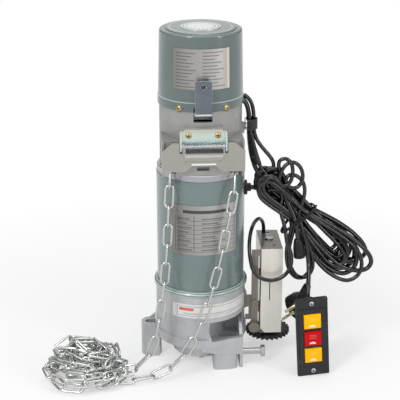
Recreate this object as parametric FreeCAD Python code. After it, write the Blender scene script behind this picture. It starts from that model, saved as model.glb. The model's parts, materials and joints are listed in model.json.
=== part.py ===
import FreeCAD, Part
import math
import os

# A roller door motor that stands on its gearbox end. Millimetres, +Z up along the motor axis,
# the origin on that axis at the level of the feet, the chain guide to -Y, the limit switch to +X.

V = FreeCAD.Vector

# Driving sizes: the running gap between parts that turn or slide, and the seat of parts that stand still
RUN_GAP = 0.05
SEAT_GAP = 0.25

# Gear case
CASE_R = 57.0
FLANGE_R = CASE_R + 2.0
FLANGE_BOTTOM_Z = 35.0
FLANGE_TOP_Z = 47.0
CASE_TOP_Z = 104.0
CASE_WALL = 5.0
GEAR_FLOOR_Z = 74.0
NECK_R = 30.0
HUB_R = 36.0
HUB_BOTTOM_Z = 12.0
HUB_LIP = 2.0

# Mounting lug, arm and foot of the gear case
LUG_X = -CASE_R - 7.0
LUG_Y = 5.0
LUG_R = 13.0
LUG_SLOT_LENGTH = 16.0
LUG_SLOT_WIDTH = 9.5
ARM_X = 51.7
ARM_FRONT_Y = -52.0
ARM_CORNER_Y = -45.0
ARM_BACK_Y = 24.0
ARM_WALL = 4.0
ARM_FLOOR_Z = 37.0
ARM_RIM_Z = 43.5
ARM_LOW_Z = 31.0
ARM_WEB_LOW = [(-2.0, 31.0), (15.0, 25.0), (44.0, 20.0)]
POCKET_LEFT_X = 8.0
POCKET_BACK_Y = 0.0
POCKET_TOP_Z = 70.0
FIN_WIDTH = 4.5
ARM_HOLE_X = 41.8
ARM_HOLE_Y = -10.6
ARM_HOLE_R = 5.5
ARM_SLOT_X = 33.5
ARM_SLOT_Y = -24.0
ARM_SLOT_LENGTH = 25.0
ARM_SLOT_WIDTH = 9.0
FOOT_LEFT_X = 14.0
FOOT_RIGHT_X = 44.7
FOOT_FRONT_Y = -50.0
FOOT_DEPTH = 26.0
FOOT_ROUND = 5.0
BOLT_Y = -33.0
BOLT_Z = 17.0
BOLT_R = 4.0
BOLT_OUT = 24.0
BOLT_HEAD_AF = 13.0
BOLT_HEAD_H = 5.3

# Motor barrel and its end shields
BARREL_R = 55.0
BASE_RING_R = BARREL_R + 4.5
BASE_RING_H = 8.0
BARREL_WALL = 2.5
BARREL_TOP_Z = 256.0
SPIGOT_H = 7.0
SHIELD_R = BARREL_R - 0.8
SHIELD_H = 9.5
STATOR_BOTTOM_Z = 143.0
STATOR_LENGTH = 74.0
STATOR_BORE_R = 28.0
WINDING_INNER_R = 31.0
WINDING_OUTER_R = BARREL_R - 7.0
WINDING_H = 17.0
AIR_GAP = 0.5

# Rotor and gears
SHAFT_R = 8.5
BEARING_OUTER_R = 20.0
BEARING_H = 12.0
GEAR_MODULE = 1.85
SUN_TEETH = 12
PLANET_TEETH = 18
PLANET_COUNT = 3
GEAR_FACE = 20.0
PLANET_PIN_R = 4.0
CARRIER_R = 36.0
CARRIER_H = 3.0
OUT_SHAFT_R = 12.5
OUT_SHAFT_END_Z = 0.0
OUT_STUB_R = 10.0
OUT_STUB_H = 4.2
OUT_NECK_R = 9.2
OUT_BEARING_OUTER_R = 26.0
OUT_BEARING_H = 13.0
OUT_SPROCKET_TEETH = 8
OUT_SPROCKET_PITCH = 15.875
OUT_SPROCKET_H = 6.0
OUT_SPROCKET_Z = 5.0
OUT_SPROCKET_PITCH_R = OUT_SPROCKET_PITCH / (2 * math.sin(math.pi / OUT_SPROCKET_TEETH))
OUT_SPROCKET_TIP_R = OUT_SPROCKET_PITCH_R + 4.0
OUT_SPROCKET_ROOM = 1.6

# Chain wheel housing
HOUSING_R = 50.5
HOUSING_WALL = 4.0
HOUSING_TOP_Z = 351.0
MOUTH_HALF = 49.0
MOUTH_TOP_Z = 309.0
MOUTH_FRONT_Y = -55.0
MOUTH_CHEEK_Y = -58.0
MOUTH_CHEEK = 2.5
CHANNEL_HALF = 7.2
CHANNEL_H = 18.0
LATCH_WIDTH = 15.0
LATCH_H = 5.0
LATCH_DEPTH = 6.0
LATCH_Z = 271.5
WEB_BOTTOM_Z = 330.0
WEB_H = 6.6
SLOT_WIDTH = 22.5
SLOT_BOTTOM_Z = 330.0
PAD_HALF = 24.0
PAD_TOP_Z = 325.0
TAB_Z = 302.5
TAB_H = 11.5
TAB_OUT = 3.0

# Hand chain and its wheel
CHAIN_WIRE = 2.9
CHAIN_WIDTH = 12.5
CHAIN_PITCH = 24.4
CHAIN_PLAY = 0.5
CHAIN_R = 39.0
CHAIN_Z = 283.0
WHEEL_RIM_R = 43.5
WHEEL_HALF = 9.2
WHEEL_HUB_R = 15.0
WHEEL_HUB_TOP_Z = 312.0
PILE_X = -150.0
PILE_Y = -66.0
PILE_HALF_X = 64.0
PILE_HALF_Y = 56.0
PILE_H = 52.0

# Brake and release lever
BRAKE_DISC_R = 32.0
BRAKE_DISC_H = 6.0
ARMATURE_R = 42.0
ARMATURE_H = 4.0
ARMATURE_TRAVEL = 1.6
MAGNET_R = 38.0
MAGNET_H = 28.0
COIL_OUTER_R = 33.0
COIL_INNER_R = 17.0
PILLAR_R = 3.0
PILLAR_PCR = 43.4
LEVER_WIDTH = 20.0
LEVER_T = 2.0
LEVER_OUTER_Y = -61.0
LEVER_TIP_Y = -35.0
LEVER_TOP_Z = 383.0
LEVER_ARM_Z = 341.0
LEVER_HOLE = 5.0
LEVER_PIN_Y = -44.0
LEVER_PIN_Z = 339.3
LEVER_PIN_R = 1.5
LEVER_EAR_R = 2.9

# End cap
RIM_R = HOUSING_R + 1.9
RIM_BOTTOM_Z = 342.5
RIM_TOP_Z = 354.0
CAP_R = HOUSING_R + 1.1
CAP_TOP_R = CAP_R - 1.9
CAP_TOP_Z = 433.0
CAP_WALL = 1.6
CAP_ROUND = 2.5
STEP_R = 42.0
STEP_H = 1.2
BADGE_R = 24.0
PLATE_T = 0.6
PLATE_LIFT = 0.15
CAP_SCREW_Z = 346.8
CAP_SCREW_ANGLE = 31.8
SCREW_R = 2.0
SCREW_HEAD_R = 3.7
SCREW_HEAD_H = 2.2
CORD_NOTCH_HALF = 9.0
CAP_PLATE = (-42.0, 38.0, 370.0, 418.0)
BARREL_PLATE = (-42.0, 48.0, 162.0, 226.5)
CASE_LABEL = (-40.0, 70.0, 77.0, 95.5)
CAPACITOR_R = 16.0
CAPACITOR_LENGTH = 62.0
TERMINAL_SIZE = (44.0, 16.0, 18.0)

# Guide bracket, pin, spring and tilting chain guide
BRACKET_HALF = 28.0
BRACKET_T = 2.0
BRACKET_BOTTOM_Z = 298.0
BRACKET_TOP_Z = 322.0
BRACKET_LIP_HALF = 22.5
BRACKET_SCREW_X = 17.3
BRACKET_SCREW_Z = 316.5
HINGE_Y = -61.6
HINGE_Z = 303.5
HINGE_R = 2.4
SPRING_R = 3.9
SPRING_ROOT_R = 3.3
SPRING_HALF = 22.8
SPRING_TURNS = 22
GUIDE_Y = -66.5
GUIDE_T = 2.0
GUIDE_HALF = 49.0
GUIDE_BOTTOM_Z = 275.0
GUIDE_TOP_Z = 310.5
GUIDE_NOTCH_Z = 297.5
GUIDE_CENTRE_Z = 283.0
GUIDE_CENTRE_HALF = 13.5
GUIDE_WING_X = 22.0
GUIDE_CHAMFER_X = 12.0
GUIDE_CHAMFER_Z = 10.2
GUIDE_EAR_T = 1.8
GUIDE_EAR_R = 4.2
GUIDE_RIB_HALF = 22.5
GUIDE_RIB_Z = 287.5
GUIDE_RIB_H = 8.0
GUIDE_RIB_OUT = 1.6
GUIDE_TAB_DEPTH = 6.5

# Cable clip on the housing and cable grommet on the barrel
CLIP_X = HOUSING_R + 11.3
CLIP_Z = 307.0
CLIP_H = 13.0
CLIP_INNER_R = 6.9
CLIP_T = 1.3
GROMMET_Z = 230.0
GROMMET_FLANGE_R = 9.4
GROMMET_FLANGE_T = 3.0
GROMMET_NECK_R = 5.2
GROMMET_OUT = 8.0
MOTOR_CABLE_R = 3.2

# Limit switch unit
LIMIT_X = CASE_R + 19.0
LIMIT_WIDTH = 28.0
LIMIT_FRONT_Y = -14.0
LIMIT_DEPTH = 62.0
LIMIT_BOTTOM_Z = 33.0
LIMIT_TOP_Z = 152.0
LIMIT_T = 2.0
FLANGE_LEFT_X = LIMIT_X - 11.5
FLANGE_LOW_Z = 34.0
FLANGE_HIGH_Z = 150.0
COVER_GAP = 0.3
COVER_T = 1.0
LIMIT_SCREW_X = LIMIT_X + 14.0
LIMIT_SCREW_Y = 17.0
LIMIT_SCREW_R = 5.0
NUT_SIZE = 16.0
NUT_H = 14.0
NUT_LOW_Z = 62.0
NUT_HIGH_Z = 108.0
ROD_R = 2.5
ROD_Y = 34.0
LIMIT_WHEEL_TEETH = 26
LIMIT_WHEEL_TIP_R = 28.8
LIMIT_WHEEL_ROOT_R = 25.4
LIMIT_WHEEL_H = 5.5
LIMIT_WHEEL_Z = 20.0
SWITCH_SIZE = (6.0, 20.0, 14.0)
CLAMP_DISC_R = 7.0
CLAMP_DISC_X = LIMIT_X - 7.7
CLAMP_DISC_Z = 43.0
HOLDER_Y = -8.0
HOLDER_Z = 78.0

# Push-button station, built upright at the origin and then placed
STATION_W = 40.5
STATION_H = 107.0
STATION_PLATE_T = 4.0
STATION_BOX_W = 30.0
STATION_BOX_H = 78.0
STATION_BOX_D = 24.0
STATION_WALL = 2.0
STATION_EAR = 3.5
STATION_X = 139.6
STATION_Y = -72.0
STATION_YAW = 4.0
STATION_LEAN = 3.6
FRAME_W = 33.0
FRAME_H = 79.0
FRAME_OUT = 1.2
BUTTON_W = 21.5
BUTTON_H = 19.2
BUTTON_GAP = 0.35
BUTTON_PITCH = 23.6
BUTTON_MID_Z = 53.0
BUTTON_OUT = 2.2
BUTTON_TRAVEL = 2.5
BUTTON_STEM_R = 4.0
STATION_SCREW_DZ = 46.8

# Mains plug, built with its pins along -X and its cord upwards and then placed
PLUG_R = 18.5
PLUG_DEPTH = 22.0
PIN_R = 2.4
PIN_LENGTH = 19.0
PIN_SPACING = 19.0
RELIEF_TOP_R = 5.2
RELIEF_FOOT_R = 8.0
RELIEF_LENGTH = 30.0
PLUG_AT = V(123.5, 5.0, 57.0)
PLUG_YAW = 35.0
PLUG_DIP = -14.6
PLUG_ROLL = 30.0

# Cords: the diameter of each, and the hank's outline in X and Z
CORD_R = 3.0
CONTROL_CORD_R = 2.5
LIMIT_CORD_R = 2.3
HANK_FRONT_Y = -22.0
HANK_DEPTH = 36.0
HANK_OUTLINE = [
    (72, 240), (86, 256), (101, 265), (116, 262), (130, 249), (135, 226), (140, 201),
    (168, 192), (200, 173), (219, 155), (224, 132), (210, 108), (190, 101), (160, 112),
    (145, 117), (130, 117), (126, 104), (113, 112), (108, 140), (99, 177), (78, 213),
]
TIE_A = V(99, 0, 177)
TIE_B = V(140, 0, 201)
TIE_WIDTH = 4.5
TIE_T = 1.6

parts = {}


# Small helpers for shapes

def cyl(radius, z0, z1, x=0.0, y=0.0):
    return Part.makeCylinder(radius, z1 - z0, V(x, y, z0))


def rod_x(radius, x0, x1, y, z):
    return Part.makeCylinder(radius, x1 - x0, V(x0, y, z), V(1, 0, 0))


def rod_y(radius, y0, y1, x, z):
    return Part.makeCylinder(radius, y1 - y0, V(x, y0, z), V(0, 1, 0))


def box(x0, x1, y0, y1, z0, z1):
    return Part.makeBox(x1 - x0, y1 - y0, z1 - z0, V(x0, y0, z0))


def ring(outer, inner, z0, z1):
    return cyl(outer, z0, z1).cut(cyl(inner, z0, z1))


def prism(points, direction):
    """A flat outline of 3-D points, pushed along a direction."""
    return Part.Face(Part.makePolygon(points + points[:1])).extrude(direction)


def plan(points, z0, z1):
    return prism([V(x, y, z0) for x, y in points], V(0, 0, z1 - z0))


def front(points, y0, y1):
    """An outline in X and Z, pushed along Y."""
    return prism([V(x, y0, z) for x, z in points], V(0, y1 - y0, 0))


def side(points, x0, x1):
    """An outline in Y and Z, pushed along X."""
    return prism([V(x0, y, z) for y, z in points], V(x1 - x0, 0, 0))


def turned(profile, start=0.0, angle=360.0):
    """A profile of radius and height, turned about the motor axis."""
    face = Part.Face(Part.makePolygon([V(r, 0, z) for r, z in profile + profile[:1]]))
    face.rotate(V(0, 0, 0), V(0, 0, 1), start)
    return face.revolve(V(0, 0, 0), V(0, 0, 1), angle)


def slot_x(x, y, length, width, z0, z1):
    """A long hole with round ends along X."""
    half = (length - width) / 2
    r = width / 2
    shape = box(x - half, x + half, y - r, y + r, z0, z1)
    return shape.fuse([cyl(r, z0, z1, x - half, y), cyl(r, z0, z1, x + half, y)])


def hexagon(across, x0, x1, y, z):
    """A hexagon bar along X."""
    r = across / math.sqrt(3)
    points = [(y + r * math.cos(math.pi / 3 * k), z + r * math.sin(math.pi / 3 * k)) for k in range(6)]
    return side(points, x0, x1)


def spun(shape, angle, x=0.0, y=0.0):
    copy = shape.copy()
    copy.rotate(V(x, y, 0), V(0, 0, 1), angle)
    return copy


def moved(shape, vector):
    copy = shape.copy()
    copy.translate(vector)
    return copy


def skin(rings, closed):
    """A faceted solid through rings of points. Open chains of rings are capped at both ends."""
    faces = []
    count = len(rings)
    sides = len(rings[0])
    for k in range(count if closed else count - 1):
        a = rings[k]
        b = rings[(k + 1) % count]
        for j in range(sides):
            i = (j + 1) % sides
            faces.append(Part.Face(Part.makePolygon([a[j], a[i], b[i], b[j], a[j]])))
    if not closed:
        faces.append(Part.Face(Part.makePolygon(rings[0] + rings[0][:1])))
        faces.append(Part.Face(Part.makePolygon(rings[-1] + rings[-1][:1])))
    solid = Part.Solid(Part.Shell(faces))
    if solid.Volume < 0:
        solid.reverse()
    return solid


def add(name, *shapes):
    parts[name] = shapes[0] if len(shapes) == 1 else Part.makeCompound(list(shapes))


# Gear case casting

def arm_outline(inset):
    """The arm seen from above: a box whose front wall runs back to the flange."""
    return [
        (-2.0, -FLANGE_R + inset + 0.5), (ARM_X - inset, ARM_CORNER_Y + inset),
        (ARM_X - inset, ARM_BACK_Y - inset), (0.0, ARM_BACK_Y - inset),
    ]


def gearbox_housing():
    flange = cyl(FLANGE_R, FLANGE_BOTTOM_Z, FLANGE_TOP_Z)
    case = cyl(CASE_R, FLANGE_BOTTOM_Z, CASE_TOP_Z)
    hub = cyl(HUB_R, HUB_BOTTOM_Z, FLANGE_BOTTOM_Z)
    arm = plan(arm_outline(0.0), ARM_LOW_Z, ARM_RIM_Z)
    lug_edge = LUG_R - 2.0
    lug = cyl(LUG_R, 0.0, FLANGE_TOP_Z - 2.0, LUG_X, LUG_Y)
    lug_web = box(LUG_X, -CASE_R * 0.6, LUG_Y - lug_edge, LUG_Y + lug_edge, FLANGE_BOTTOM_Z, FLANGE_TOP_Z - 2.0)
    lug_post = box(LUG_X, LUG_X + LUG_R - 3.0, LUG_Y - LUG_R, LUG_Y + LUG_R, 0.0, FLANGE_TOP_Z - 2.0)
    web_top = FLANGE_TOP_Z + 16.0
    slope = front([(LUG_X - 4.0, FLANGE_TOP_Z - 3.0), (-CASE_R * 0.8, FLANGE_TOP_Z - 3.0),
                   (-CASE_R * 0.8, web_top)], LUG_Y + lug_edge - 4.0, LUG_Y + lug_edge)
    body = flange.fuse([case, hub, arm, lug, lug_web, lug_post, slope])
    foot = box(FOOT_LEFT_X, FOOT_RIGHT_X, FOOT_FRONT_Y, FOOT_FRONT_Y + FOOT_DEPTH, 0.0, ARM_LOW_Z)
    outline = plan(arm_outline(0.0), 0.0, ARM_LOW_Z)
    foot = foot.common(outline)
    front_uprights = [e for e in foot.Edges if abs(e.Length - ARM_LOW_Z) < 1e-6 and e.CenterOfMass.y < FOOT_FRONT_Y + 5.0]
    foot = foot.makeFillet(FOOT_ROUND, front_uprights)
    web_side = ARM_WEB_LOW + [(ARM_X, ARM_WEB_LOW[-1][1]), (ARM_X, ARM_LOW_Z + 1.0), (ARM_WEB_LOW[0][0], ARM_LOW_Z + 1.0)]
    web = front(web_side, -FLANGE_R - 1.0, 0.0)
    web = web.common(plan(arm_outline(0.0), 0.0, ARM_RIM_Z)).cut(plan(arm_outline(ARM_WALL), 0.0, ARM_RIM_Z))
    end_wall = box(ARM_X - ARM_WALL, ARM_X, ARM_CORNER_Y, ARM_BACK_Y, 0.0, ARM_RIM_Z)
    gusset = side([(ARM_CORNER_Y + 8.0, ARM_RIM_Z), (0.0, ARM_RIM_Z), (0.0, POCKET_TOP_Z)], ARM_X - ARM_WALL, ARM_X)
    body = body.fuse([foot, web, end_wall])
    pocket = plan([(POCKET_LEFT_X, -80.0), (ARM_X - ARM_WALL, -80.0), (ARM_X - ARM_WALL, POCKET_BACK_Y),
                   (POCKET_LEFT_X, POCKET_BACK_Y)], ARM_FLOOR_Z, POCKET_TOP_Z)
    pocket_low = plan(arm_outline(ARM_WALL), ARM_FLOOR_Z, POCKET_TOP_Z)
    above = box(POCKET_LEFT_X, ARM_X, -80.0, POCKET_BACK_Y, ARM_RIM_Z, POCKET_TOP_Z)
    pocket = pocket.common(pocket_low).fuse(above).cut(cyl(NECK_R, ARM_FLOOR_Z, POCKET_TOP_Z))
    body = body.cut(pocket)
    fin = front([(POCKET_LEFT_X - FIN_WIDTH, ARM_RIM_Z - 1.0), (POCKET_LEFT_X + 4.0, ARM_RIM_Z - 1.0),
                 (POCKET_LEFT_X - FIN_WIDTH, POCKET_TOP_Z)], -CASE_R - 1.0, -CASE_R + 7.0)
    body = body.fuse([gusset, fin])
    cavity = cyl(CASE_R - CASE_WALL, GEAR_FLOOR_Z, CASE_TOP_Z)
    shaft_way = cyl(OUT_SHAFT_R + 4.0, HUB_BOTTOM_Z, GEAR_FLOOR_Z)
    lower_seat = cyl(OUT_BEARING_OUTER_R, HUB_BOTTOM_Z + HUB_LIP, HUB_BOTTOM_Z + HUB_LIP + OUT_BEARING_H)
    upper_seat = cyl(OUT_BEARING_OUTER_R, GEAR_FLOOR_Z - OUT_BEARING_H, GEAR_FLOOR_Z)
    lug_slot = slot_x(LUG_X, LUG_Y, LUG_SLOT_LENGTH, LUG_SLOT_WIDTH, 0.0, FLANGE_TOP_Z)
    hole = cyl(ARM_HOLE_R, ARM_LOW_Z, ARM_FLOOR_Z, ARM_HOLE_X, ARM_HOLE_Y)
    slot = slot_x(ARM_SLOT_X, ARM_SLOT_Y, ARM_SLOT_LENGTH, ARM_SLOT_WIDTH, 0.0, ARM_FLOOR_Z)
    bolt_way = rod_x(BOLT_R, ARM_X - 3 * ARM_WALL, ARM_X, BOLT_Y, BOLT_Z)
    sprocket_way = cyl(OUT_SPROCKET_TIP_R + OUT_SPROCKET_ROOM, 0.0, HUB_BOTTOM_Z - 1.0)
    for tool in (sprocket_way, cavity, shaft_way, lower_seat, upper_seat, lug_slot, hole, slot, bolt_way):
        body = body.cut(tool)
    return body.removeSplitter()


def tension_bolt():
    shank = rod_x(BOLT_R, ARM_X - 2 * ARM_WALL, ARM_X + BOLT_OUT, BOLT_Y, BOLT_Z)
    head = hexagon(BOLT_HEAD_AF, ARM_X + BOLT_OUT, ARM_X + BOLT_OUT + BOLT_HEAD_H, BOLT_Y, BOLT_Z)
    return shank.fuse(head)


# Motor barrel, end shields, stator

def lower_shield():
    top = CASE_TOP_Z + BASE_RING_H
    flange = turned([(SHAFT_R + 4.0, CASE_TOP_Z), (BASE_RING_R - 1.5, CASE_TOP_Z), (BASE_RING_R, CASE_TOP_Z + 2.0),
                     (BASE_RING_R, top - 2.5), (BASE_RING_R - 2.5, top), (SHAFT_R + 4.0, top)])
    spigot = ring(BARREL_R - BARREL_WALL, BARREL_R - BARREL_WALL - 4.0, top, top + SPIGOT_H)
    boss = cyl(BEARING_OUTER_R + 4.0, top, top + SPIGOT_H)
    seat = cyl(BEARING_OUTER_R, top + SPIGOT_H - BEARING_H, top + SPIGOT_H)
    return flange.fuse([spigot, boss]).cut(cyl(SHAFT_R + 4.0, CASE_TOP_Z, top + SPIGOT_H)).cut(seat)


def upper_shield():
    top = BARREL_TOP_Z + SHIELD_H
    flange = turned([(SHAFT_R + 4.0, BARREL_TOP_Z), (SHIELD_R, BARREL_TOP_Z), (SHIELD_R, top - 1.5),
                     (SHIELD_R - 1.5, top), (SHAFT_R + 4.0, top)])
    spigot = ring(BARREL_R - BARREL_WALL, BARREL_R - BARREL_WALL - 4.0, BARREL_TOP_Z - SPIGOT_H, BARREL_TOP_Z)
    boss = cyl(BEARING_OUTER_R + 4.0, BARREL_TOP_Z - SPIGOT_H, BARREL_TOP_Z)
    seat = cyl(BEARING_OUTER_R, BARREL_TOP_Z - SPIGOT_H, BARREL_TOP_Z - SPIGOT_H + BEARING_H)
    way = cyl(SHAFT_R + 4.0, BARREL_TOP_Z - SPIGOT_H, top)
    return flange.fuse([spigot, boss]).cut(way).cut(seat)


def motor_barrel():
    bottom = CASE_TOP_Z + BASE_RING_H
    wall = ring(BARREL_R, BARREL_R - BARREL_WALL, bottom, BARREL_TOP_Z)
    return wall.cut(rod_x(GROMMET_NECK_R, BARREL_R - 3 * BARREL_WALL, BARREL_R + 1.0, 0.0, GROMMET_Z))


def stator_core():
    return ring(BARREL_R - BARREL_WALL, STATOR_BORE_R, STATOR_BOTTOM_Z, STATOR_BOTTOM_Z + STATOR_LENGTH)


def windings():
    top = STATOR_BOTTOM_Z + STATOR_LENGTH
    round_off = 4.0
    coils = []
    for z0, z1 in ((STATOR_BOTTOM_Z, STATOR_BOTTOM_Z - WINDING_H), (top, top + WINDING_H)):
        step = round_off if z1 > z0 else -round_off
        coils.append(turned([(WINDING_INNER_R, z0), (WINDING_OUTER_R, z0), (WINDING_OUTER_R, z1 - step),
                             (WINDING_OUTER_R - round_off, z1), (WINDING_INNER_R + round_off, z1),
                             (WINDING_INNER_R, z1 - step)]))
    return coils


def rotor_bearings():
    low = CASE_TOP_Z + BASE_RING_H + SPIGOT_H - BEARING_H
    high = BARREL_TOP_Z - SPIGOT_H
    return [ring(BEARING_OUTER_R, SHAFT_R + RUN_GAP, z, z + BEARING_H) for z in (low, high)]


def output_bearings():
    low = HUB_BOTTOM_Z + HUB_LIP
    high = GEAR_FLOOR_Z - OUT_BEARING_H
    return [ring(OUT_BEARING_OUTER_R, OUT_SHAFT_R + RUN_GAP, z, z + OUT_BEARING_H) for z in (low, high)]


# Gears: teeth are tapered blocks on a root circle

def tooth_outline(teeth, root, tip, root_half, tip_half, start):
    """One gear seen along its axis, as angles in degrees and radii."""
    pitch = 360.0 / teeth
    points = []
    for k in range(teeth):
        mid = start + k * pitch
        for radius, turn in ((root, -root_half), (tip, -tip_half), (tip, tip_half), (root, root_half)):
            angle = math.radians(mid + turn)
            points.append((radius * math.cos(angle), radius * math.sin(angle)))
    return points


SUN_R = GEAR_MODULE * SUN_TEETH / 2
PLANET_R = GEAR_MODULE * PLANET_TEETH / 2
RING_TEETH = SUN_TEETH + 2 * PLANET_TEETH
RING_R = GEAR_MODULE * RING_TEETH / 2
CENTRES = SUN_R + PLANET_R
GEAR_TOP_Z = CASE_TOP_Z - 4.0
GEAR_BOTTOM_Z = GEAR_TOP_Z - GEAR_FACE
FIRST_PLANET = 90.0


def gear(teeth, z0, z1, start):
    pitch_r = GEAR_MODULE * teeth / 2
    quarter = 90.0 / teeth
    outline = tooth_outline(teeth, pitch_r - 1.15 * GEAR_MODULE, pitch_r + 0.85 * GEAR_MODULE,
                            quarter * 1.35, quarter * 0.42, start)
    return plan(outline, z0, z1)


def ring_gear():
    pitch_r = RING_R
    quarter = 90.0 / RING_TEETH
    outline = tooth_outline(RING_TEETH, pitch_r + 1.15 * GEAR_MODULE, pitch_r - 0.85 * GEAR_MODULE,
                            quarter * 1.35, quarter * 0.42, FIRST_PLANET)
    return cyl(CASE_R - CASE_WALL, GEAR_BOTTOM_Z, GEAR_TOP_Z).cut(plan(outline, GEAR_BOTTOM_Z, GEAR_TOP_Z))


def planet_centre(index):
    angle = math.radians(FIRST_PLANET + index * 360.0 / PLANET_COUNT)
    return CENTRES * math.cos(angle), CENTRES * math.sin(angle)


def planet(index):
    x, y = planet_centre(index)
    angle = FIRST_PLANET + index * 360.0 / PLANET_COUNT
    wheel = gear(PLANET_TEETH, GEAR_BOTTOM_Z, GEAR_TOP_Z, angle + 180.0 / PLANET_TEETH)
    wheel.translate(V(x, y, 0))
    return wheel.cut(cyl(PLANET_PIN_R + RUN_GAP, GEAR_BOTTOM_Z, GEAR_TOP_Z, x, y))


def planet_carrier():
    top = GEAR_BOTTOM_Z - SEAT_GAP
    plate = cyl(CARRIER_R, top - CARRIER_H, top)
    shaft = cyl(OUT_SHAFT_R, OUT_SPROCKET_Z, top - CARRIER_H)
    stub = cyl(OUT_STUB_R, OUT_SHAFT_END_Z, OUT_SHAFT_END_Z + OUT_STUB_H)
    neck = cyl(OUT_NECK_R, OUT_SHAFT_END_Z, OUT_SPROCKET_Z)
    shape = plate.fuse([shaft, stub, neck])
    for index in range(PLANET_COUNT):
        x, y = planet_centre(index)
        shape = shape.fuse(cyl(PLANET_PIN_R, top, GEAR_TOP_Z + 1.0, x, y))
    return shape


def sprocket(teeth, tip_r, root_r, z0, z1, x=0.0, y=0.0):
    step = 180.0 / teeth
    wheel = plan(tooth_outline(teeth, root_r, tip_r, step * 0.62, step * 0.3, 0.0), z0, z1)
    wheel.translate(V(x, y, 0))
    return wheel


def output_sprocket():
    top = OUT_SPROCKET_Z + OUT_SPROCKET_H
    wheel = sprocket(OUT_SPROCKET_TEETH, OUT_SPROCKET_TIP_R, OUT_SPROCKET_PITCH_R - 5.0, OUT_SPROCKET_Z, top)
    collar = cyl(OUT_SHAFT_R + 5.0, OUT_SPROCKET_Z, HUB_BOTTOM_Z - 1.0)
    return wheel.fuse(collar).cut(cyl(OUT_SHAFT_R, OUT_SPROCKET_Z, HUB_BOTTOM_Z))


def rotor_shaft():
    pinion = gear(SUN_TEETH, GEAR_BOTTOM_Z, GEAR_TOP_Z, FIRST_PLANET)
    return cyl(SHAFT_R, GEAR_TOP_Z, BRAKE_TOP_Z + 1.0).fuse(pinion)


def rotor_core():
    margin = 2.0
    core = ring(STATOR_BORE_R - AIR_GAP, SHAFT_R, STATOR_BOTTOM_Z - margin, STATOR_BOTTOM_Z + STATOR_LENGTH + margin)
    return core


# Chain wheel housing, hand chain wheel and hand chain

BRAKE_FLOOR_Z = WEB_BOTTOM_Z + WEB_H
BRAKE_TOP_Z = BRAKE_FLOOR_Z + SEAT_GAP + BRAKE_DISC_H
ARMATURE_Z = LEVER_ARM_Z + LEVER_T + 0.4
MAGNET_Z = ARMATURE_Z + ARMATURE_H + ARMATURE_TRAVEL + 0.4


def chain_wheel_housing():
    base = BARREL_TOP_Z + SHIELD_H
    shell = cyl(HOUSING_R, base, HOUSING_TOP_Z)
    mouth = box(-MOUTH_HALF, MOUTH_HALF, MOUTH_FRONT_Y, 0.0, base, MOUTH_TOP_Z)
    cheek = MOUTH_HALF - MOUTH_CHEEK
    cheeks = [box(x, x + MOUTH_CHEEK, MOUTH_CHEEK_Y, 0.0, base, MOUTH_TOP_Z) for x in (-MOUTH_HALF, cheek)]
    pad = box(-PAD_HALF, PAD_HALF, MOUTH_FRONT_Y, 0.0, MOUTH_TOP_Z, PAD_TOP_Z)
    tab = box(HOUSING_R - 2.0, HOUSING_R + TAB_OUT, -6.0, 6.0, TAB_Z, TAB_Z + TAB_H)
    body = shell.fuse([mouth, pad, tab] + cheeks)
    inner = HOUSING_R - HOUSING_WALL
    body = body.cut(cyl(inner, base, WEB_BOTTOM_Z)).cut(cyl(inner, BRAKE_FLOOR_Z, HOUSING_TOP_Z))
    body = body.cut(cyl(WHEEL_HUB_R + 3.0, WEB_BOTTOM_Z, BRAKE_FLOOR_Z))
    low = CHAIN_Z - CHANNEL_H / 2
    for x in (-CHAIN_R, CHAIN_R):
        x0 = x - CHANNEL_HALF
        x1 = x + CHANNEL_HALF
        body = body.cut(box(x0, x1, MOUTH_CHEEK_Y - 1.0, 0.0, low, low + CHANNEL_H + 4.0))
        body = body.cut(box(x0, x1, MOUTH_CHEEK_Y - 1.0, -HOUSING_R * 0.48, base, low))
    half = SLOT_WIDTH / 2
    body = body.cut(box(-half, half, -HOUSING_R - 1.0, -38.0, SLOT_BOTTOM_Z, HOUSING_TOP_Z))
    body = body.cut(box(-LATCH_WIDTH / 2, LATCH_WIDTH / 2, MOUTH_FRONT_Y - 1.0, MOUTH_FRONT_Y + LATCH_DEPTH,
                        LATCH_Z, LATCH_Z + LATCH_H))
    lug_in = half + 0.5
    for x0 in (-lug_in - 3.0, lug_in):
        lug = box(x0, x0 + 3.0, LEVER_PIN_Y - 3.0, LEVER_PIN_Y + 3.0, BRAKE_FLOOR_Z, LEVER_PIN_Z + 3.0)
        body = body.fuse(lug)
    body = body.cut(rod_x(LEVER_PIN_R, -20.0, 20.0, LEVER_PIN_Y, LEVER_PIN_Z))
    notch = box(HOUSING_R - 8.0, HOUSING_R + 2.0, -CORD_NOTCH_HALF, CORD_NOTCH_HALF, RIM_BOTTOM_Z - 4.0, HOUSING_TOP_Z)
    body = body.cut(notch)
    for angle in (-CAP_SCREW_ANGLE, CAP_SCREW_ANGLE):
        body = body.cut(radial_rod(SCREW_R, HOUSING_R - 8.0, HOUSING_R + 2.0, angle, CAP_SCREW_Z))
    for x in (-BRACKET_SCREW_X, BRACKET_SCREW_X):
        body = body.cut(rod_y(SCREW_R, MOUTH_FRONT_Y - 1.0, MOUTH_FRONT_Y + 7.0, x, BRACKET_SCREW_Z))
    return body.removeSplitter()


def radial_rod(radius, r0, r1, angle, z):
    """A round rod that points away from the motor axis; angle 0 is the front."""
    rod = Part.makeCylinder(radius, r1 - r0, V(0, -r0, z), V(0, -1, 0))
    rod.rotate(V(0, 0, 0), V(0, 0, 1), angle)
    return rod


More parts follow.
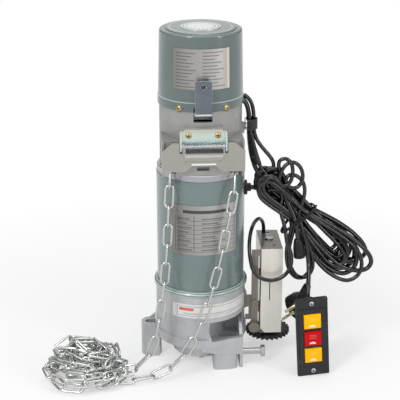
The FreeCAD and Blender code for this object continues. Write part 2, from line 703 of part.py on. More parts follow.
def hand_chain_wheel():
    bottom = BARREL_TOP_Z + SHIELD_H + SEAT_GAP
    shelf = CHAIN_WIRE / 2 + 0.9
    chord_r = math.sqrt(CHAIN_R ** 2 - (CHAIN_PITCH / 2) ** 2)
    groove = chord_r - CHAIN_WIDTH / 2 - 0.5
    seat = chord_r - CHAIN_WIRE / 2 - 0.4
    low = CHAIN_Z - WHEEL_HALF
    high = CHAIN_Z + WHEEL_HALF
    bore = SHAFT_R + RUN_GAP
    inner_low = CHAIN_Z - CHAIN_WIDTH / 2 - 0.6
    inner_high = CHAIN_Z + CHAIN_WIDTH / 2 + 0.6
    return turned([
        (bore, bottom), (WHEEL_HUB_R, bottom), (WHEEL_HUB_R, low), (WHEEL_RIM_R, low), (WHEEL_RIM_R, inner_low - 0.6),
        (seat, inner_low), (seat, CHAIN_Z - shelf), (groove, CHAIN_Z - shelf), (groove, CHAIN_Z + shelf),
        (seat, CHAIN_Z + shelf), (seat, inner_high), (WHEEL_RIM_R, inner_high + 0.6), (WHEEL_RIM_R, high),
        (WHEEL_HUB_R, high), (WHEEL_HUB_R, WHEEL_HUB_TOP_Z), (bore, WHEEL_HUB_TOP_Z),
    ])


def chain_link(a, b, across):
    """One oval link from joint a to joint b. Its flat side lies along the vector across."""
    along = (b - a).normalize()
    wide = across - along * across.dot(along)
    wide.normalize()
    normal = along.cross(wide)
    wire = CHAIN_WIRE / 2
    end_r = CHAIN_WIDTH / 2 - wire
    half = (CHAIN_PITCH + CHAIN_PLAY) / 2 + wire - end_r
    mid = (a + b) * 0.5
    centres = []
    for k in range(10):
        turn = math.pi * (k // 5) + math.pi * (k % 5) / 4 - math.pi / 2
        shift = half if k < 5 else -half
        centres.append((shift + end_r * math.cos(turn), end_r * math.sin(turn), turn))
    rings = []
    for s, w, turn in centres:
        centre = mid + along * s + wide * w
        outwards = along * math.cos(turn) + wide * math.sin(turn)
        row = []
        for j in range(6):
            angle = math.pi / 3 * j + math.pi / 6
            row.append(centre + outwards * (wire * math.cos(angle)) + normal * (wire * math.sin(angle)))
        rings.append(row)
    return skin(rings, True)


def march(route, first, count):
    """Joints one pitch apart along a line of points, from a starting point."""
    joints = [first]
    leg = 0
    while leg < len(route) - 1 and len(joints) <= count:
        a = route[leg]
        b = route[leg + 1]
        step = b - a
        gap = a - joints[-1]
        qa = step.dot(step)
        qb = 2 * gap.dot(step)
        qc = gap.dot(gap) - CHAIN_PITCH ** 2
        root = qb * qb - 4 * qa * qc
        t = (-qb + math.sqrt(root)) / (2 * qa) if root >= 0 else -1
        if 0 <= t <= 1 and qc <= 0:
            joints.append(a + step * t)
        else:
            leg += 1
    return joints


def links_along(joints):
    """Links between the joints, each a quarter turn from the one before it, in line with the wheel's axis there."""
    middle = max(range(len(joints) - 1), key=lambda k: joints[k].y)
    links = {}
    for order in (range(middle, len(joints) - 1), range(middle, -1, -1)):
        across = V(0, 0, 1)
        for k in order:
            along = (joints[k + 1] - joints[k]).normalize()
            across = across - along * across.dot(along)
            across.normalize()
            turned_over = (k - middle) % 2 == 1
            links[k] = chain_link(joints[k], joints[k + 1], along.cross(across) if turned_over else across)
    return [links[k] for k in sorted(links)]


# The route of the chain: round the wheel, out of the mouth and down each side of the guide
CHAIN_LIP_Y = -38.0
LEFT_STRAND = [V(-39, -38, 281), V(-39, -46, 272), V(-39.5, -51.5, 260), V(-41, -54, 235), V(-43, -57, 190),
               V(-45, -60, 160), V(-49, -63, 118), V(-55, -67, 82), V(-61, -70, 50), V(-72, -71, 28),
               V(-88, -71, 15), V(-108, -70, 12)]
RIGHT_STRAND = [V(39, -38, 281), V(39, -46, 272), V(38.5, -52, 260), V(36.5, -58, 240), V(32, -62, 218),
                V(27, -64, 194), V(21, -65, 160), V(12, -67.5, 125), V(5, -68.5, 100), V(-4, -69.5, 76),
                V(-13, -71, 54), V(-25, -73, 34), V(-42, -74, 18), V(-64, -77, 8.5), V(-92, -84, 7.6), V(-112, -86, 9)]


def chain_parts():
    wrap = []
    steps = 36
    for k in range(steps + 1):
        angle = math.pi * k / steps
        wrap.append(V(CHAIN_R * math.cos(angle), CHAIN_R * math.sin(angle), CHAIN_Z))
    whole = list(reversed(RIGHT_STRAND)) + wrap + LEFT_STRAND
    joints = march(whole, whole[0], 200)
    links = links_along(joints)
    right, inside, left = [], [], []
    for a, link in zip(joints, links):
        if a.y > CHAIN_LIP_Y:
            inside.append(link)
        elif a.x > 0 or (not inside):
            right.append(link)
        else:
            left.append(link)
    return right, inside, left


def chain_pile():
    """The heap of chain on the floor, as a low faceted mound."""
    levels = ((0.86, 0.0), (1.0, 0.22), (0.9, 0.52), (0.62, 0.84), (0.22, 1.0))
    sides = 14
    rings = []
    for spread, height in levels:
        row = []
        for j in range(sides):
            angle = 2 * math.pi * j / sides
            row.append(V(PILE_X + PILE_HALF_X * spread * math.cos(angle),
                         PILE_Y + PILE_HALF_Y * spread * math.sin(angle), PILE_H * height))
        rings.append(row)
    return skin(rings, False)


# Brake: disc on the shaft, armature plate above it, magnet with its coil on three pillars

def brake_disc():
    return ring(BRAKE_DISC_R, SHAFT_R, BRAKE_FLOOR_Z + SEAT_GAP, BRAKE_TOP_Z)


def pillar_spots():
    return [(PILLAR_PCR * math.cos(math.radians(a)), PILLAR_PCR * math.sin(math.radians(a))) for a in (30, 150, 270 - 25)]


def brake_armature():
    plate = ring(ARMATURE_R, SHAFT_R + 3.0, ARMATURE_Z, ARMATURE_Z + ARMATURE_H)
    for x, y in pillar_spots():
        plate = plate.cut(cyl(PILLAR_R + 0.3, ARMATURE_Z, ARMATURE_Z + ARMATURE_H, x, y))
    return plate


def brake_pillars():
    return [cyl(PILLAR_R, BRAKE_FLOOR_Z, MAGNET_Z, x, y) for x, y in pillar_spots()]


def brake_magnet():
    body = cyl(MAGNET_R, MAGNET_Z, MAGNET_Z + MAGNET_H)
    for x, y in pillar_spots():
        ear = cyl(PILLAR_R, MAGNET_Z, MAGNET_Z + 4.0, x, y)
        bridge = box(MAGNET_R - 6.0, PILLAR_PCR, -PILLAR_R, PILLAR_R, MAGNET_Z, MAGNET_Z + 4.0)
        body = body.fuse([ear, spun(bridge, math.degrees(math.atan2(y, x)))])
    groove = ring(COIL_OUTER_R, COIL_INNER_R, MAGNET_Z, MAGNET_Z + MAGNET_H - 6.0)
    return body.cut(groove).cut(cyl(SHAFT_R + 3.0, MAGNET_Z, MAGNET_Z + MAGNET_H))


def brake_coil():
    return ring(COIL_OUTER_R, COIL_INNER_R, MAGNET_Z + 1.0, MAGNET_Z + MAGNET_H - 6.0)


def release_lever():
    half = LEVER_WIDTH / 2
    inner_y = LEVER_OUTER_Y + LEVER_T
    chamfer = 2.0
    upright = front([(-half, LEVER_ARM_Z), (half, LEVER_ARM_Z), (half, LEVER_TOP_Z - chamfer),
                     (half - chamfer, LEVER_TOP_Z), (-half + chamfer, LEVER_TOP_Z), (-half, LEVER_TOP_Z - chamfer)],
                    LEVER_OUTER_Y, inner_y)
    arm = box(-half, half, LEVER_OUTER_Y, LEVER_TIP_Y, LEVER_ARM_Z, LEVER_ARM_Z + LEVER_T)
    gusset = side([(inner_y, LEVER_ARM_Z + LEVER_T), (inner_y + 6.0, LEVER_ARM_Z + LEVER_T),
                   (inner_y, LEVER_ARM_Z + LEVER_T + 6.0)], -1.5, 1.5)
    body = upright.fuse([arm, gusset])
    for x0 in (-half, half - LEVER_T):
        ear = rod_x(LEVER_EAR_R, x0, x0 + LEVER_T, LEVER_PIN_Y, LEVER_PIN_Z)
        body = body.fuse(ear)
    hole_z = LEVER_TOP_Z - 7.0
    r = LEVER_HOLE / math.sqrt(2)
    diamond = front([(-r, hole_z), (0, hole_z - r), (r, hole_z), (0, hole_z + r)], LEVER_OUTER_Y - 1.0, inner_y + 1.0)
    return body.cut(diamond).cut(rod_x(LEVER_PIN_R + RUN_GAP, -half - 1.0, half + 1.0, LEVER_PIN_Y, LEVER_PIN_Z))


def lever_pin():
    reach = SLOT_WIDTH / 2 + 3.5
    return rod_x(LEVER_PIN_R, -reach, reach, LEVER_PIN_Y, LEVER_PIN_Z)


# End cap and what it covers

def cap_radius(z):
    return CAP_R + (CAP_TOP_R - CAP_R) * (z - RIM_TOP_Z) / (CAP_TOP_Z - RIM_TOP_Z)


def end_cap():
    shoulder = HOUSING_TOP_Z + SEAT_GAP
    inner = CAP_WALL
    body = turned([
        (RIM_R - 0.8, RIM_BOTTOM_Z), (RIM_R, RIM_BOTTOM_Z + 0.8), (RIM_R, RIM_TOP_Z - 1.6), (CAP_R, RIM_TOP_Z),
        (cap_radius(CAP_TOP_Z - CAP_ROUND), CAP_TOP_Z - CAP_ROUND), (CAP_TOP_R - CAP_ROUND * 0.3, CAP_TOP_Z - CAP_ROUND * 0.3),
        (CAP_TOP_R - CAP_ROUND, CAP_TOP_Z), (STEP_R + 1.0, CAP_TOP_Z), (STEP_R, CAP_TOP_Z + STEP_H), (0, CAP_TOP_Z + STEP_H),
        (0, CAP_TOP_Z - inner), (CAP_TOP_R - inner, CAP_TOP_Z - inner), (CAP_R - inner, RIM_TOP_Z),
        (CAP_R - inner, shoulder), (HOUSING_R + 0.1, shoulder), (HOUSING_R + 0.1, RIM_BOTTOM_Z),
    ])
    half = SLOT_WIDTH / 2
    body = body.cut(box(-half, half, -RIM_R - 1.0, -HOUSING_R + 4.0, RIM_BOTTOM_Z, RIM_BOTTOM_Z + 6.5))
    body = body.cut(box(HOUSING_R - 4.0, RIM_R + 1.0, -CORD_NOTCH_HALF, CORD_NOTCH_HALF, RIM_BOTTOM_Z, HOUSING_TOP_Z))
    for angle in (-CAP_SCREW_ANGLE, CAP_SCREW_ANGLE):
        body = body.fuse(radial_rod(SCREW_HEAD_R + 1.3, HOUSING_R + 0.4, RIM_R + 0.9, angle, CAP_SCREW_Z))
        body = body.cut(radial_rod(SCREW_R, HOUSING_R - 2.0, RIM_R + 2.0, angle, CAP_SCREW_Z))
    return body


def cap_screws():
    screws = []
    for angle in (-CAP_SCREW_ANGLE, CAP_SCREW_ANGLE):
        seat = RIM_R + 0.9
        shank = radial_rod(SCREW_R, HOUSING_R - 6.0, seat, angle, CAP_SCREW_Z)
        head = radial_rod(SCREW_HEAD_R, seat, seat + SCREW_HEAD_H, angle, CAP_SCREW_Z)
        screws.append(shank.fuse(head))
    return screws


def cap_badge():
    return cyl(BADGE_R, CAP_TOP_Z + STEP_H, CAP_TOP_Z + STEP_H + PLATE_T)


def wrapped_plate(place, radius_at):
    """A thin plate bent round the body; place holds its two angles from the front and its two heights."""
    left, right, low, high = place
    inner_low = radius_at(low) + PLATE_LIFT
    inner_high = radius_at(high) + PLATE_LIFT
    profile = [(inner_low, low), (inner_low + PLATE_T, low), (inner_high + PLATE_T, high), (inner_high, high)]
    return turned(profile, left - 90.0, right - left)


def capacitor_z():
    return MAGNET_Z + MAGNET_H + CAPACITOR_R + 1.5


def capacitor():
    return rod_x(CAPACITOR_R, -CAPACITOR_LENGTH / 2, CAPACITOR_LENGTH / 2, -14.0, capacitor_z())


def capacitor_clamp():
    """A saddle on top of the magnet that the capacitor lies in."""
    z = capacitor_z()
    base = MAGNET_Z + MAGNET_H
    block = box(-8.0, 8.0, -14.0 - CAPACITOR_R - 2.0, -14.0 + CAPACITOR_R + 2.0, base, z)
    return block.cut(rod_x(CAPACITOR_R, -9.0, 9.0, -14.0, z))


def terminal_block():
    w, d, h = TERMINAL_SIZE
    base = MAGNET_Z + MAGNET_H
    y0 = -14.0 + CAPACITOR_R + 3.0
    block = box(-w / 2, w / 2, y0, y0 + d, base, base + h)
    pitch = w / 6
    for k in range(6):
        block = block.cut(cyl(2.2, base + h - 4.0, base + h, -w / 2 + pitch * (k + 0.5), y0 + d / 2))
    return block


# Guide bracket, hinge pin, spring and chain guide

def guide_bracket():
    face_y = MOUTH_FRONT_Y - BRACKET_T
    face = box(-BRACKET_HALF, BRACKET_HALF, face_y, MOUTH_FRONT_Y, BRACKET_BOTTOM_Z, BRACKET_TOP_Z)
    lip = box(-BRACKET_LIP_HALF, BRACKET_LIP_HALF, face_y - 1.5, MOUTH_FRONT_Y, BRACKET_TOP_Z, BRACKET_TOP_Z + BRACKET_T)
    body = face.fuse(lip)
    outer = 4.2
    for x0 in (-BRACKET_HALF, BRACKET_HALF - BRACKET_T):
        ear = side([(face_y, BRACKET_BOTTOM_Z), (face_y, BRACKET_TOP_Z), (HINGE_Y + 2.0, BRACKET_TOP_Z),
                    (HINGE_Y - outer, HINGE_Z + 4.0), (HINGE_Y - outer, HINGE_Z - outer),
                    (HINGE_Y + 1.0, BRACKET_BOTTOM_Z)], x0, x0 + BRACKET_T)
        body = body.fuse(ear)
    body = body.cut(rod_x(HINGE_R, -BRACKET_HALF - 1.0, BRACKET_HALF + 1.0, HINGE_Y, HINGE_Z))
    for x in (-BRACKET_SCREW_X, BRACKET_SCREW_X):
        body = body.cut(rod_y(SCREW_R, face_y - 1.0, MOUTH_FRONT_Y + 1.0, x, BRACKET_SCREW_Z))
    return body


def bracket_screws():
    seat = MOUTH_FRONT_Y - BRACKET_T
    screws = []
    for x in (-BRACKET_SCREW_X, BRACKET_SCREW_X):
        shank = rod_y(SCREW_R, seat, MOUTH_FRONT_Y + 6.0, x, BRACKET_SCREW_Z)
        head = rod_y(SCREW_HEAD_R, seat - SCREW_HEAD_H, seat, x, BRACKET_SCREW_Z)
        screws.append(shank.fuse(head))
    return screws


def hinge_pin():
    return rod_x(HINGE_R, -BRACKET_HALF, BRACKET_HALF, HINGE_Y, HINGE_Z)


def guide_spring():
    """The coil spring on the hinge pin, as eight-sided waves with the pin's bore through them."""
    rings = []
    turns = 2 * SPRING_TURNS
    bore = HINGE_R + RUN_GAP
    for k in range(turns + 1):
        x = -SPRING_HALF + 2 * SPRING_HALF * k / turns
        r = SPRING_R if k % 2 else SPRING_ROOT_R
        rings.append([V(x, HINGE_Y + r * math.cos(math.pi / 4 * j), HINGE_Z + r * math.sin(math.pi / 4 * j))
                      for j in range(8)])
    return skin(rings, False).cut(rod_x(bore, -SPRING_HALF, SPRING_HALF, HINGE_Y, HINGE_Z))


def chain_guide():
    w = GUIDE_HALF
    n = SPRING_HALF + GUIDE_EAR_T + 0.6
    outline = [
        (-w, GUIDE_BOTTOM_Z), (-GUIDE_WING_X, GUIDE_BOTTOM_Z), (-GUIDE_CENTRE_HALF, GUIDE_CENTRE_Z),
        (GUIDE_CENTRE_HALF, GUIDE_CENTRE_Z), (GUIDE_WING_X, GUIDE_BOTTOM_Z), (w, GUIDE_BOTTOM_Z),
        (w, GUIDE_TOP_Z - GUIDE_CHAMFER_Z), (w - GUIDE_CHAMFER_X, GUIDE_TOP_Z), (BRACKET_HALF + 0.8, GUIDE_TOP_Z),
        (BRACKET_HALF + 0.8, GUIDE_NOTCH_Z), (-BRACKET_HALF - 0.8, GUIDE_NOTCH_Z), (-BRACKET_HALF - 0.8, GUIDE_TOP_Z),
        (-w + GUIDE_CHAMFER_X, GUIDE_TOP_Z), (-w, GUIDE_TOP_Z - GUIDE_CHAMFER_Z),
    ]
    plate = front(outline, GUIDE_Y - GUIDE_T, GUIDE_Y)
    slope = 2.0
    outer = GUIDE_Y - GUIDE_T
    rib = side([(outer, GUIDE_RIB_Z), (outer - GUIDE_RIB_OUT, GUIDE_RIB_Z + slope),
                (outer - GUIDE_RIB_OUT, GUIDE_RIB_Z + GUIDE_RIB_H - slope), (outer, GUIDE_RIB_Z + GUIDE_RIB_H)],
               -GUIDE_RIB_HALF, GUIDE_RIB_HALF)
    tab = box(-GUIDE_CENTRE_HALF + 1.0, GUIDE_CENTRE_HALF - 1.0, GUIDE_Y - GUIDE_T, GUIDE_Y + GUIDE_TAB_DEPTH,
              GUIDE_CENTRE_Z, GUIDE_CENTRE_Z + GUIDE_T)
    body = plate.fuse([rib, tab])
    ear_in = SPRING_HALF + 0.3
    for x0 in (-ear_in - GUIDE_EAR_T, ear_in):
        eye = rod_x(GUIDE_EAR_R, x0, x0 + GUIDE_EAR_T, HINGE_Y, HINGE_Z)
        neck = side([(GUIDE_Y, GUIDE_NOTCH_Z - 8.0), (GUIDE_Y - GUIDE_T, GUIDE_NOTCH_Z - 8.0),
                     (GUIDE_Y - GUIDE_T, GUIDE_NOTCH_Z), (HINGE_Y - GUIDE_EAR_R, HINGE_Z), (HINGE_Y, HINGE_Z),
                     (HINGE_Y + 1.0, HINGE_Z - GUIDE_EAR_R)], x0, x0 + GUIDE_EAR_T)
        body = body.fuse([eye, neck])
    return body.cut(rod_x(HINGE_R + RUN_GAP, -ear_in - 3.0, ear_in + 3.0, HINGE_Y, HINGE_Z))


# Cable clip and grommet

def cable_clip():
    outer = CLIP_INNER_R + CLIP_T
    tongue_x = HOUSING_R + TAB_OUT
    loop = cyl(outer, CLIP_Z, CLIP_Z + CLIP_H, CLIP_X, 0.0)
    tongue = box(tongue_x, CLIP_X, -outer, -outer + 2 * CLIP_T, CLIP_Z, CLIP_Z + CLIP_H)
    root = box(tongue_x, tongue_x + CLIP_T, -outer, 0.0, CLIP_Z, CLIP_Z + CLIP_H)
    body = loop.fuse([tongue, root]).cut(cyl(CLIP_INNER_R, CLIP_Z, CLIP_Z + CLIP_H, CLIP_X, 0.0))
    inner_cut = box(tongue_x + CLIP_T, CLIP_X - CLIP_INNER_R + 0.8, -outer + 2 * CLIP_T, outer, CLIP_Z, CLIP_Z + CLIP_H)
    return body.cut(inner_cut).cut(rod_y(1.6, -outer - 1.0, -outer + 3 * CLIP_T, tongue_x + 3.0, CLIP_Z + CLIP_H / 2))


def clip_screw():
    outer = CLIP_INNER_R + CLIP_T
    x = HOUSING_R + TAB_OUT + 3.0
    z = CLIP_Z + CLIP_H / 2
    head = rod_y(2.4, -outer - 1.8, -outer, x, z)
    return head.fuse(rod_y(1.6, -outer, -outer + 2 * CLIP_T, x, z))


def cable_grommet():
    seat = BARREL_R
    body = Part.makeCylinder(GROMMET_FLANGE_R, GROMMET_FLANGE_T, V(seat, 0, GROMMET_Z), V(1, 0, 0))
    neck = rod_x(GROMMET_NECK_R, seat - 2 * BARREL_WALL, seat + GROMMET_OUT, 0.0, GROMMET_Z)
    body = body.fuse(neck)
    barrel = ring(BARREL_R, BARREL_R - BARREL_WALL, GROMMET_Z - 20.0, GROMMET_Z + 20.0)
    barrel = barrel.cut(rod_x(GROMMET_NECK_R, 0.0, BARREL_R + 1.0, 0.0, GROMMET_Z))
    return body.cut(barrel).cut(rod_x(MOTOR_CABLE_R, seat - 3 * BARREL_WALL, seat + GROMMET_OUT, 0.0, GROMMET_Z))


# Limit switch unit

def limit_frame():
    x0 = LIMIT_X
    x1 = LIMIT_X + LIMIT_WIDTH
    y0 = LIMIT_FRONT_Y
    y1 = LIMIT_FRONT_Y + LIMIT_DEPTH
    t = LIMIT_T
    inner = COVER_T + COVER_GAP
    wall = box(x0, x0 + t, y0, y1, LIMIT_BOTTOM_Z, LIMIT_TOP_Z)
    top = box(x0, x1 - inner, y0, y1, LIMIT_TOP_Z - t, LIMIT_TOP_Z)
    bottom = box(x0, x1 - inner, y0, y1, LIMIT_BOTTOM_Z, LIMIT_BOTTOM_Z + t)
    flange = box(FLANGE_LEFT_X, x0 + t, y0, y0 + t, FLANGE_LOW_Z, FLANGE_HIGH_Z)
    body = wall.fuse([top, bottom, flange])
    window = box(x0 - 3.2, x0 + t + 0.5, y0 - 1.0, y0 + 8.0, NUT_LOW_Z - 20.0, NUT_HIGH_Z + NUT_H + 20.0)
    body = body.cut(window)
    way = cyl(LIMIT_SCREW_R + RUN_GAP, LIMIT_BOTTOM_Z - 1.0, LIMIT_TOP_Z + 1.0, LIMIT_SCREW_X, LIMIT_SCREW_Y)
    body = body.cut(way)
    for x, y in ((x0 + 9.0, 14.0), (x0 + 18.0, -4.0), (x0 + 14.0, 38.0)):
        body = body.cut(cyl(2.0, LIMIT_TOP_Z - t, LIMIT_TOP_Z, x, y))
    cord_hole = cyl(LIMIT_CORD_R + 0.6, LIMIT_TOP_Z - t, LIMIT_TOP_Z, x0 + 9.0, y1 - 8.0)
    pin_hole = rod_y(1.6, y0 - 1.0, y0 + 3.0, CLAMP_DISC_X, CLAMP_DISC_Z)
    rod_way = cyl(ROD_R, LIMIT_BOTTOM_Z, LIMIT_TOP_Z, LIMIT_SCREW_X, ROD_Y)
    holder_hole = rod_y(2.0, y0 - 1.0, y0 + 3.0, FLANGE_LEFT_X + 4.0, HOLDER_Z)
    for tool in (cord_hole, pin_hole, rod_way, holder_hole):
        body = body.cut(tool)
    return body


def limit_cover():
    x1 = LIMIT_X + LIMIT_WIDTH
    y0 = LIMIT_FRONT_Y - COVER_GAP
    y1 = LIMIT_FRONT_Y + LIMIT_DEPTH + COVER_GAP
    low = LIMIT_BOTTOM_Z + 0.5
    high = LIMIT_TOP_Z - 0.5
    left = LIMIT_X + 0.5
    chamfer = 6.0
    face = front([(left + chamfer, low), (x1, low), (x1, high), (left, high), (left, low + chamfer)], y0 - COVER_T, y0)
    right = box(x1 - COVER_T, x1, y0 - COVER_T, y1 + COVER_T, low, high)
    back = box(LIMIT_X + 4.0, x1, y1, y1 + COVER_T, low, high)
    body = face.fuse([right, back])
    slit = box(LIMIT_X + 11.5, LIMIT_X + 12.5, y0 - 2 * COVER_T, y0 + 1.0, 80.0, 111.0)
    return body.cut(slit)


def limit_screw():
    shaft = cyl(LIMIT_SCREW_R, LIMIT_WHEEL_Z - 1.5, LIMIT_TOP_Z + 2.0, LIMIT_SCREW_X, LIMIT_SCREW_Y)
    collar = cyl(LIMIT_SCREW_R + 3.0, LIMIT_BOTTOM_Z - 4.0, LIMIT_BOTTOM_Z - SEAT_GAP, LIMIT_SCREW_X, LIMIT_SCREW_Y)
    return shaft.fuse(collar)


def limit_wheel():
    wheel = sprocket(LIMIT_WHEEL_TEETH, LIMIT_WHEEL_TIP_R, LIMIT_WHEEL_ROOT_R, LIMIT_WHEEL_Z,
                     LIMIT_WHEEL_Z + LIMIT_WHEEL_H, LIMIT_SCREW_X, LIMIT_SCREW_Y)
    boss = cyl(10.0, LIMIT_WHEEL_Z, LIMIT_BOTTOM_Z - 4.0, LIMIT_SCREW_X, LIMIT_SCREW_Y)
    return wheel.fuse(boss).cut(cyl(LIMIT_SCREW_R, LIMIT_WHEEL_Z - 1.0, LIMIT_BOTTOM_Z, LIMIT_SCREW_X, LIMIT_SCREW_Y))


def limit_nut(z0):
    half = NUT_SIZE / 2
    body = box(LIMIT_SCREW_X - half, LIMIT_SCREW_X + half, LIMIT_SCREW_Y - half, ROD_Y + 5.0, z0, z0 + NUT_H)
    pointer = box(LIMIT_X - 2.4, LIMIT_SCREW_X - half + 1.0, LIMIT_FRONT_Y + 2.4, LIMIT_FRONT_Y + 6.4, z0, z0 + NUT_H)
    stem = box(LIMIT_SCREW_X - half, LIMIT_SCREW_X - half + 4.0, LIMIT_FRONT_Y + 2.4, LIMIT_SCREW_Y, z0, z0 + NUT_H)
    body = body.fuse([pointer, stem])
    body = body.cut(cyl(LIMIT_SCREW_R + RUN_GAP, z0, z0 + NUT_H, LIMIT_SCREW_X, LIMIT_SCREW_Y))
    return body.cut(cyl(ROD_R + RUN_GAP, z0, z0 + NUT_H, LIMIT_SCREW_X, ROD_Y))


def guide_rod():
    return cyl(ROD_R, LIMIT_BOTTOM_Z, LIMIT_TOP_Z, LIMIT_SCREW_X, ROD_Y)


def microswitch(z0):
    w, d, h = SWITCH_SIZE
    x0 = LIMIT_X + LIMIT_T
    y0 = LIMIT_SCREW_Y + 2.0
    body = box(x0, x0 + w - 1.0, y0, y0 + d, z0, z0 + h)
    return body


def clamp_disc():
    y0 = LIMIT_FRONT_Y
    disc = rod_y(CLAMP_DISC_R, y0 - 5.0, y0, CLAMP_DISC_X, CLAMP_DISC_Z)
    return disc.fuse(rod_y(1.6, y0, y0 + 3.0, CLAMP_DISC_X, CLAMP_DISC_Z))


def limit_holder():
    """The bent bracket that carries the limit unit on the gear case."""
    x1 = FLANGE_LEFT_X + 8.0
    y0 = LIMIT_FRONT_Y + LIMIT_T
    plate = box(CASE_R - 3.0, x1, y0, y0 + 3.0, HOLDER_Z - 8.0, HOLDER_Z + 8.0)
    plate = plate.cut(cyl(CASE_R, HOLDER_Z - 9.0, HOLDER_Z + 9.0))
    saddle = turned([(CASE_R, HOLDER_Z - 8.0), (CASE_R + 2.5, HOLDER_Z - 8.0), (CASE_R + 2.5, HOLDER_Z + 8.0),
                     (CASE_R, HOLDER_Z + 8.0)], -14.0, 26.0)
    shelf = box(CASE_R + 1.0, x1 - 1.0, y0, y0 + 10.0, 52.0, 55.0).cut(cyl(CASE_R, 50.0, 60.0))
    post = box(CASE_R + 4.5, x1 - 4.0, y0, y0 + 3.0, 52.0, HOLDER_Z)
    body = plate.fuse([saddle, shelf, post])
    return body.cut(rod_y(2.0, y0 - 1.0, y0 + 4.0, FLANGE_LEFT_X + 4.0, HOLDER_Z))


def holder_screw():
    y0 = LIMIT_FRONT_Y
    head = rod_y(3.5, y0 - 2.4, y0, FLANGE_LEFT_X + 4.0, HOLDER_Z)
    return head.fuse(rod_y(2.0, y0, y0 + LIMIT_T + 3.0, FLANGE_LEFT_X + 4.0, HOLDER_Z))


# Push-button station, built with its plate's outer face at y 0 and standing on z 0

def place_station(shape):
    copy = shape.copy()
    copy.rotate(V(STATION_W / -2, 0, 0), V(0, 1, 0), -STATION_LEAN)
    copy.rotate(V(0, 0, 0), V(0, 0, 1), STATION_YAW)
    copy.translate(V(STATION_X, STATION_Y, 0))
    return copy


def button_z(index):
    return BUTTON_MID_Z + (1 - index) * BUTTON_PITCH


def station_plate():
    half = STATION_W / 2
    plate = box(-half, half, 0.0, STATION_PLATE_T, 0.0, STATION_H)
    long_edges = [e for e in plate.Edges if abs(e.Length - STATION_PLATE_T) < 1e-6]
    plate = plate.makeFillet(1.6, long_edges)
    low = BUTTON_MID_Z - FRAME_H / 2
    frame = box(-FRAME_W / 2, FRAME_W / 2, -FRAME_OUT, 0.0, low, low + FRAME_H)
    body = plate.fuse(frame)
    for index in range(3):
        z = button_z(index)
        w = BUTTON_W / 2 + BUTTON_GAP
        h = BUTTON_H / 2 + BUTTON_GAP
        body = body.cut(box(-w, w, -FRAME_OUT - 1.0, STATION_PLATE_T, z - h, z + h))
    for dz in (-STATION_SCREW_DZ, STATION_SCREW_DZ):
        body = body.cut(rod_y(SCREW_R, -1.0, STATION_PLATE_T, 0.0, BUTTON_MID_Z + dz))
    return body


def station_box():
    half = STATION_BOX_W / 2
    low = (STATION_H - STATION_BOX_H) / 2
    back = STATION_PLATE_T + STATION_BOX_D
    t = STATION_WALL
    body = box(-half, half, STATION_PLATE_T, back, low, low + STATION_BOX_H)
    body = body.cut(box(-half + t, half - t, STATION_PLATE_T, back - t, low + t, low + STATION_BOX_H - t))
    for z, box_end in ((BUTTON_MID_Z - STATION_SCREW_DZ, low + t), (BUTTON_MID_Z + STATION_SCREW_DZ, low + STATION_BOX_H - t)):
        ear_low = min(z - STATION_EAR, box_end)
        ear_high = max(z + STATION_EAR, box_end)
        ear = box(-STATION_EAR, STATION_EAR, STATION_PLATE_T, STATION_PLATE_T + 10.0, ear_low, ear_high)
        body = body.fuse(ear).cut(rod_y(SCREW_R, STATION_PLATE_T - 1.0, STATION_PLATE_T + 9.0, 0.0, z))
    return body


def station_screws():
    screws = []
    for dz in (-STATION_SCREW_DZ, STATION_SCREW_DZ):
        z = BUTTON_MID_Z + dz
        screws.append(rod_y(3.2, -1.2, 0.0, 0.0, z).fuse(rod_y(SCREW_R, 0.0, STATION_PLATE_T + 8.0, 0.0, z)))
    return screws


def button(index):
    z = button_z(index)
    w = BUTTON_W / 2
    h = BUTTON_H / 2
    out = FRAME_OUT + BUTTON_OUT
    cap = box(-w, w, -out, 1.0, z - h, z + h)
    rim = [e for e in cap.Edges if abs(e.Vertexes[0].Point.y + out) < 1e-6 and abs(e.Vertexes[-1].Point.y + out) < 1e-6]
    cap = cap.makeFillet(0.9, rim)
    stem = rod_y(BUTTON_STEM_R, 1.0, STATION_PLATE_T + 3.0, 0.0, z)
    return cap.fuse(stem)


def contact_block():
    """Three contact blocks behind the buttons, with room for the stems to travel."""
    start = STATION_PLATE_T + 3.0 + BUTTON_TRAVEL + SEAT_GAP
    end = STATION_PLATE_T + STATION_BOX_D - STATION_WALL
    return [box(-10.0, 10.0, start, end, button_z(k) - 9.0, button_z(k) + 9.0) for k in range(3)]


# Mains plug, built with its face at x 0, its pins along -X and its cord along +Z

def place_plug(shape):
    copy = shape.copy()
    copy.rotate(V(0, 0, 0), V(1, 0, 0), PLUG_ROLL)
    copy.rotate(V(0, 0, 0), V(0, 1, 0), PLUG_DIP)
    copy.rotate(V(0, 0, 0), V(0, 0, 1), PLUG_YAW)
    copy.translate(PLUG_AT)
    return copy


def plug_pin_spots():
    return (-PIN_SPACING / 2, PIN_SPACING / 2)


def plug_body():
    face = rod_x(PLUG_R, 0.0, PLUG_DEPTH * 0.55, 0.0, 0.0)
    back = Part.makeCone(PLUG_R, PLUG_R * 0.62, PLUG_DEPTH * 0.45, V(PLUG_DEPTH * 0.55, 0, 0), V(1, 0, 0))
    neck_x = PLUG_DEPTH * 0.45
    relief = Part.makeCone(RELIEF_FOOT_R, RELIEF_TOP_R, RELIEF_LENGTH, V(neck_x, 0, PLUG_R - 3.0), V(0, 0, 1))
    body = face.fuse([back, relief])
    for z in plug_pin_spots():
        body = body.cut(rod_x(PIN_R, -1.0, 6.0, 0.0, z))
    for y0 in (-PLUG_R - 1.0, PLUG_R - 1.0):
        body = body.cut(box(-1.0, 8.0, y0, y0 + 2.0, -3.0, 3.0))
    top = PLUG_R - 3.0 + RELIEF_LENGTH
    return body.cut(cyl(CORD_R, top - 6.0, top, neck_x, 0.0))


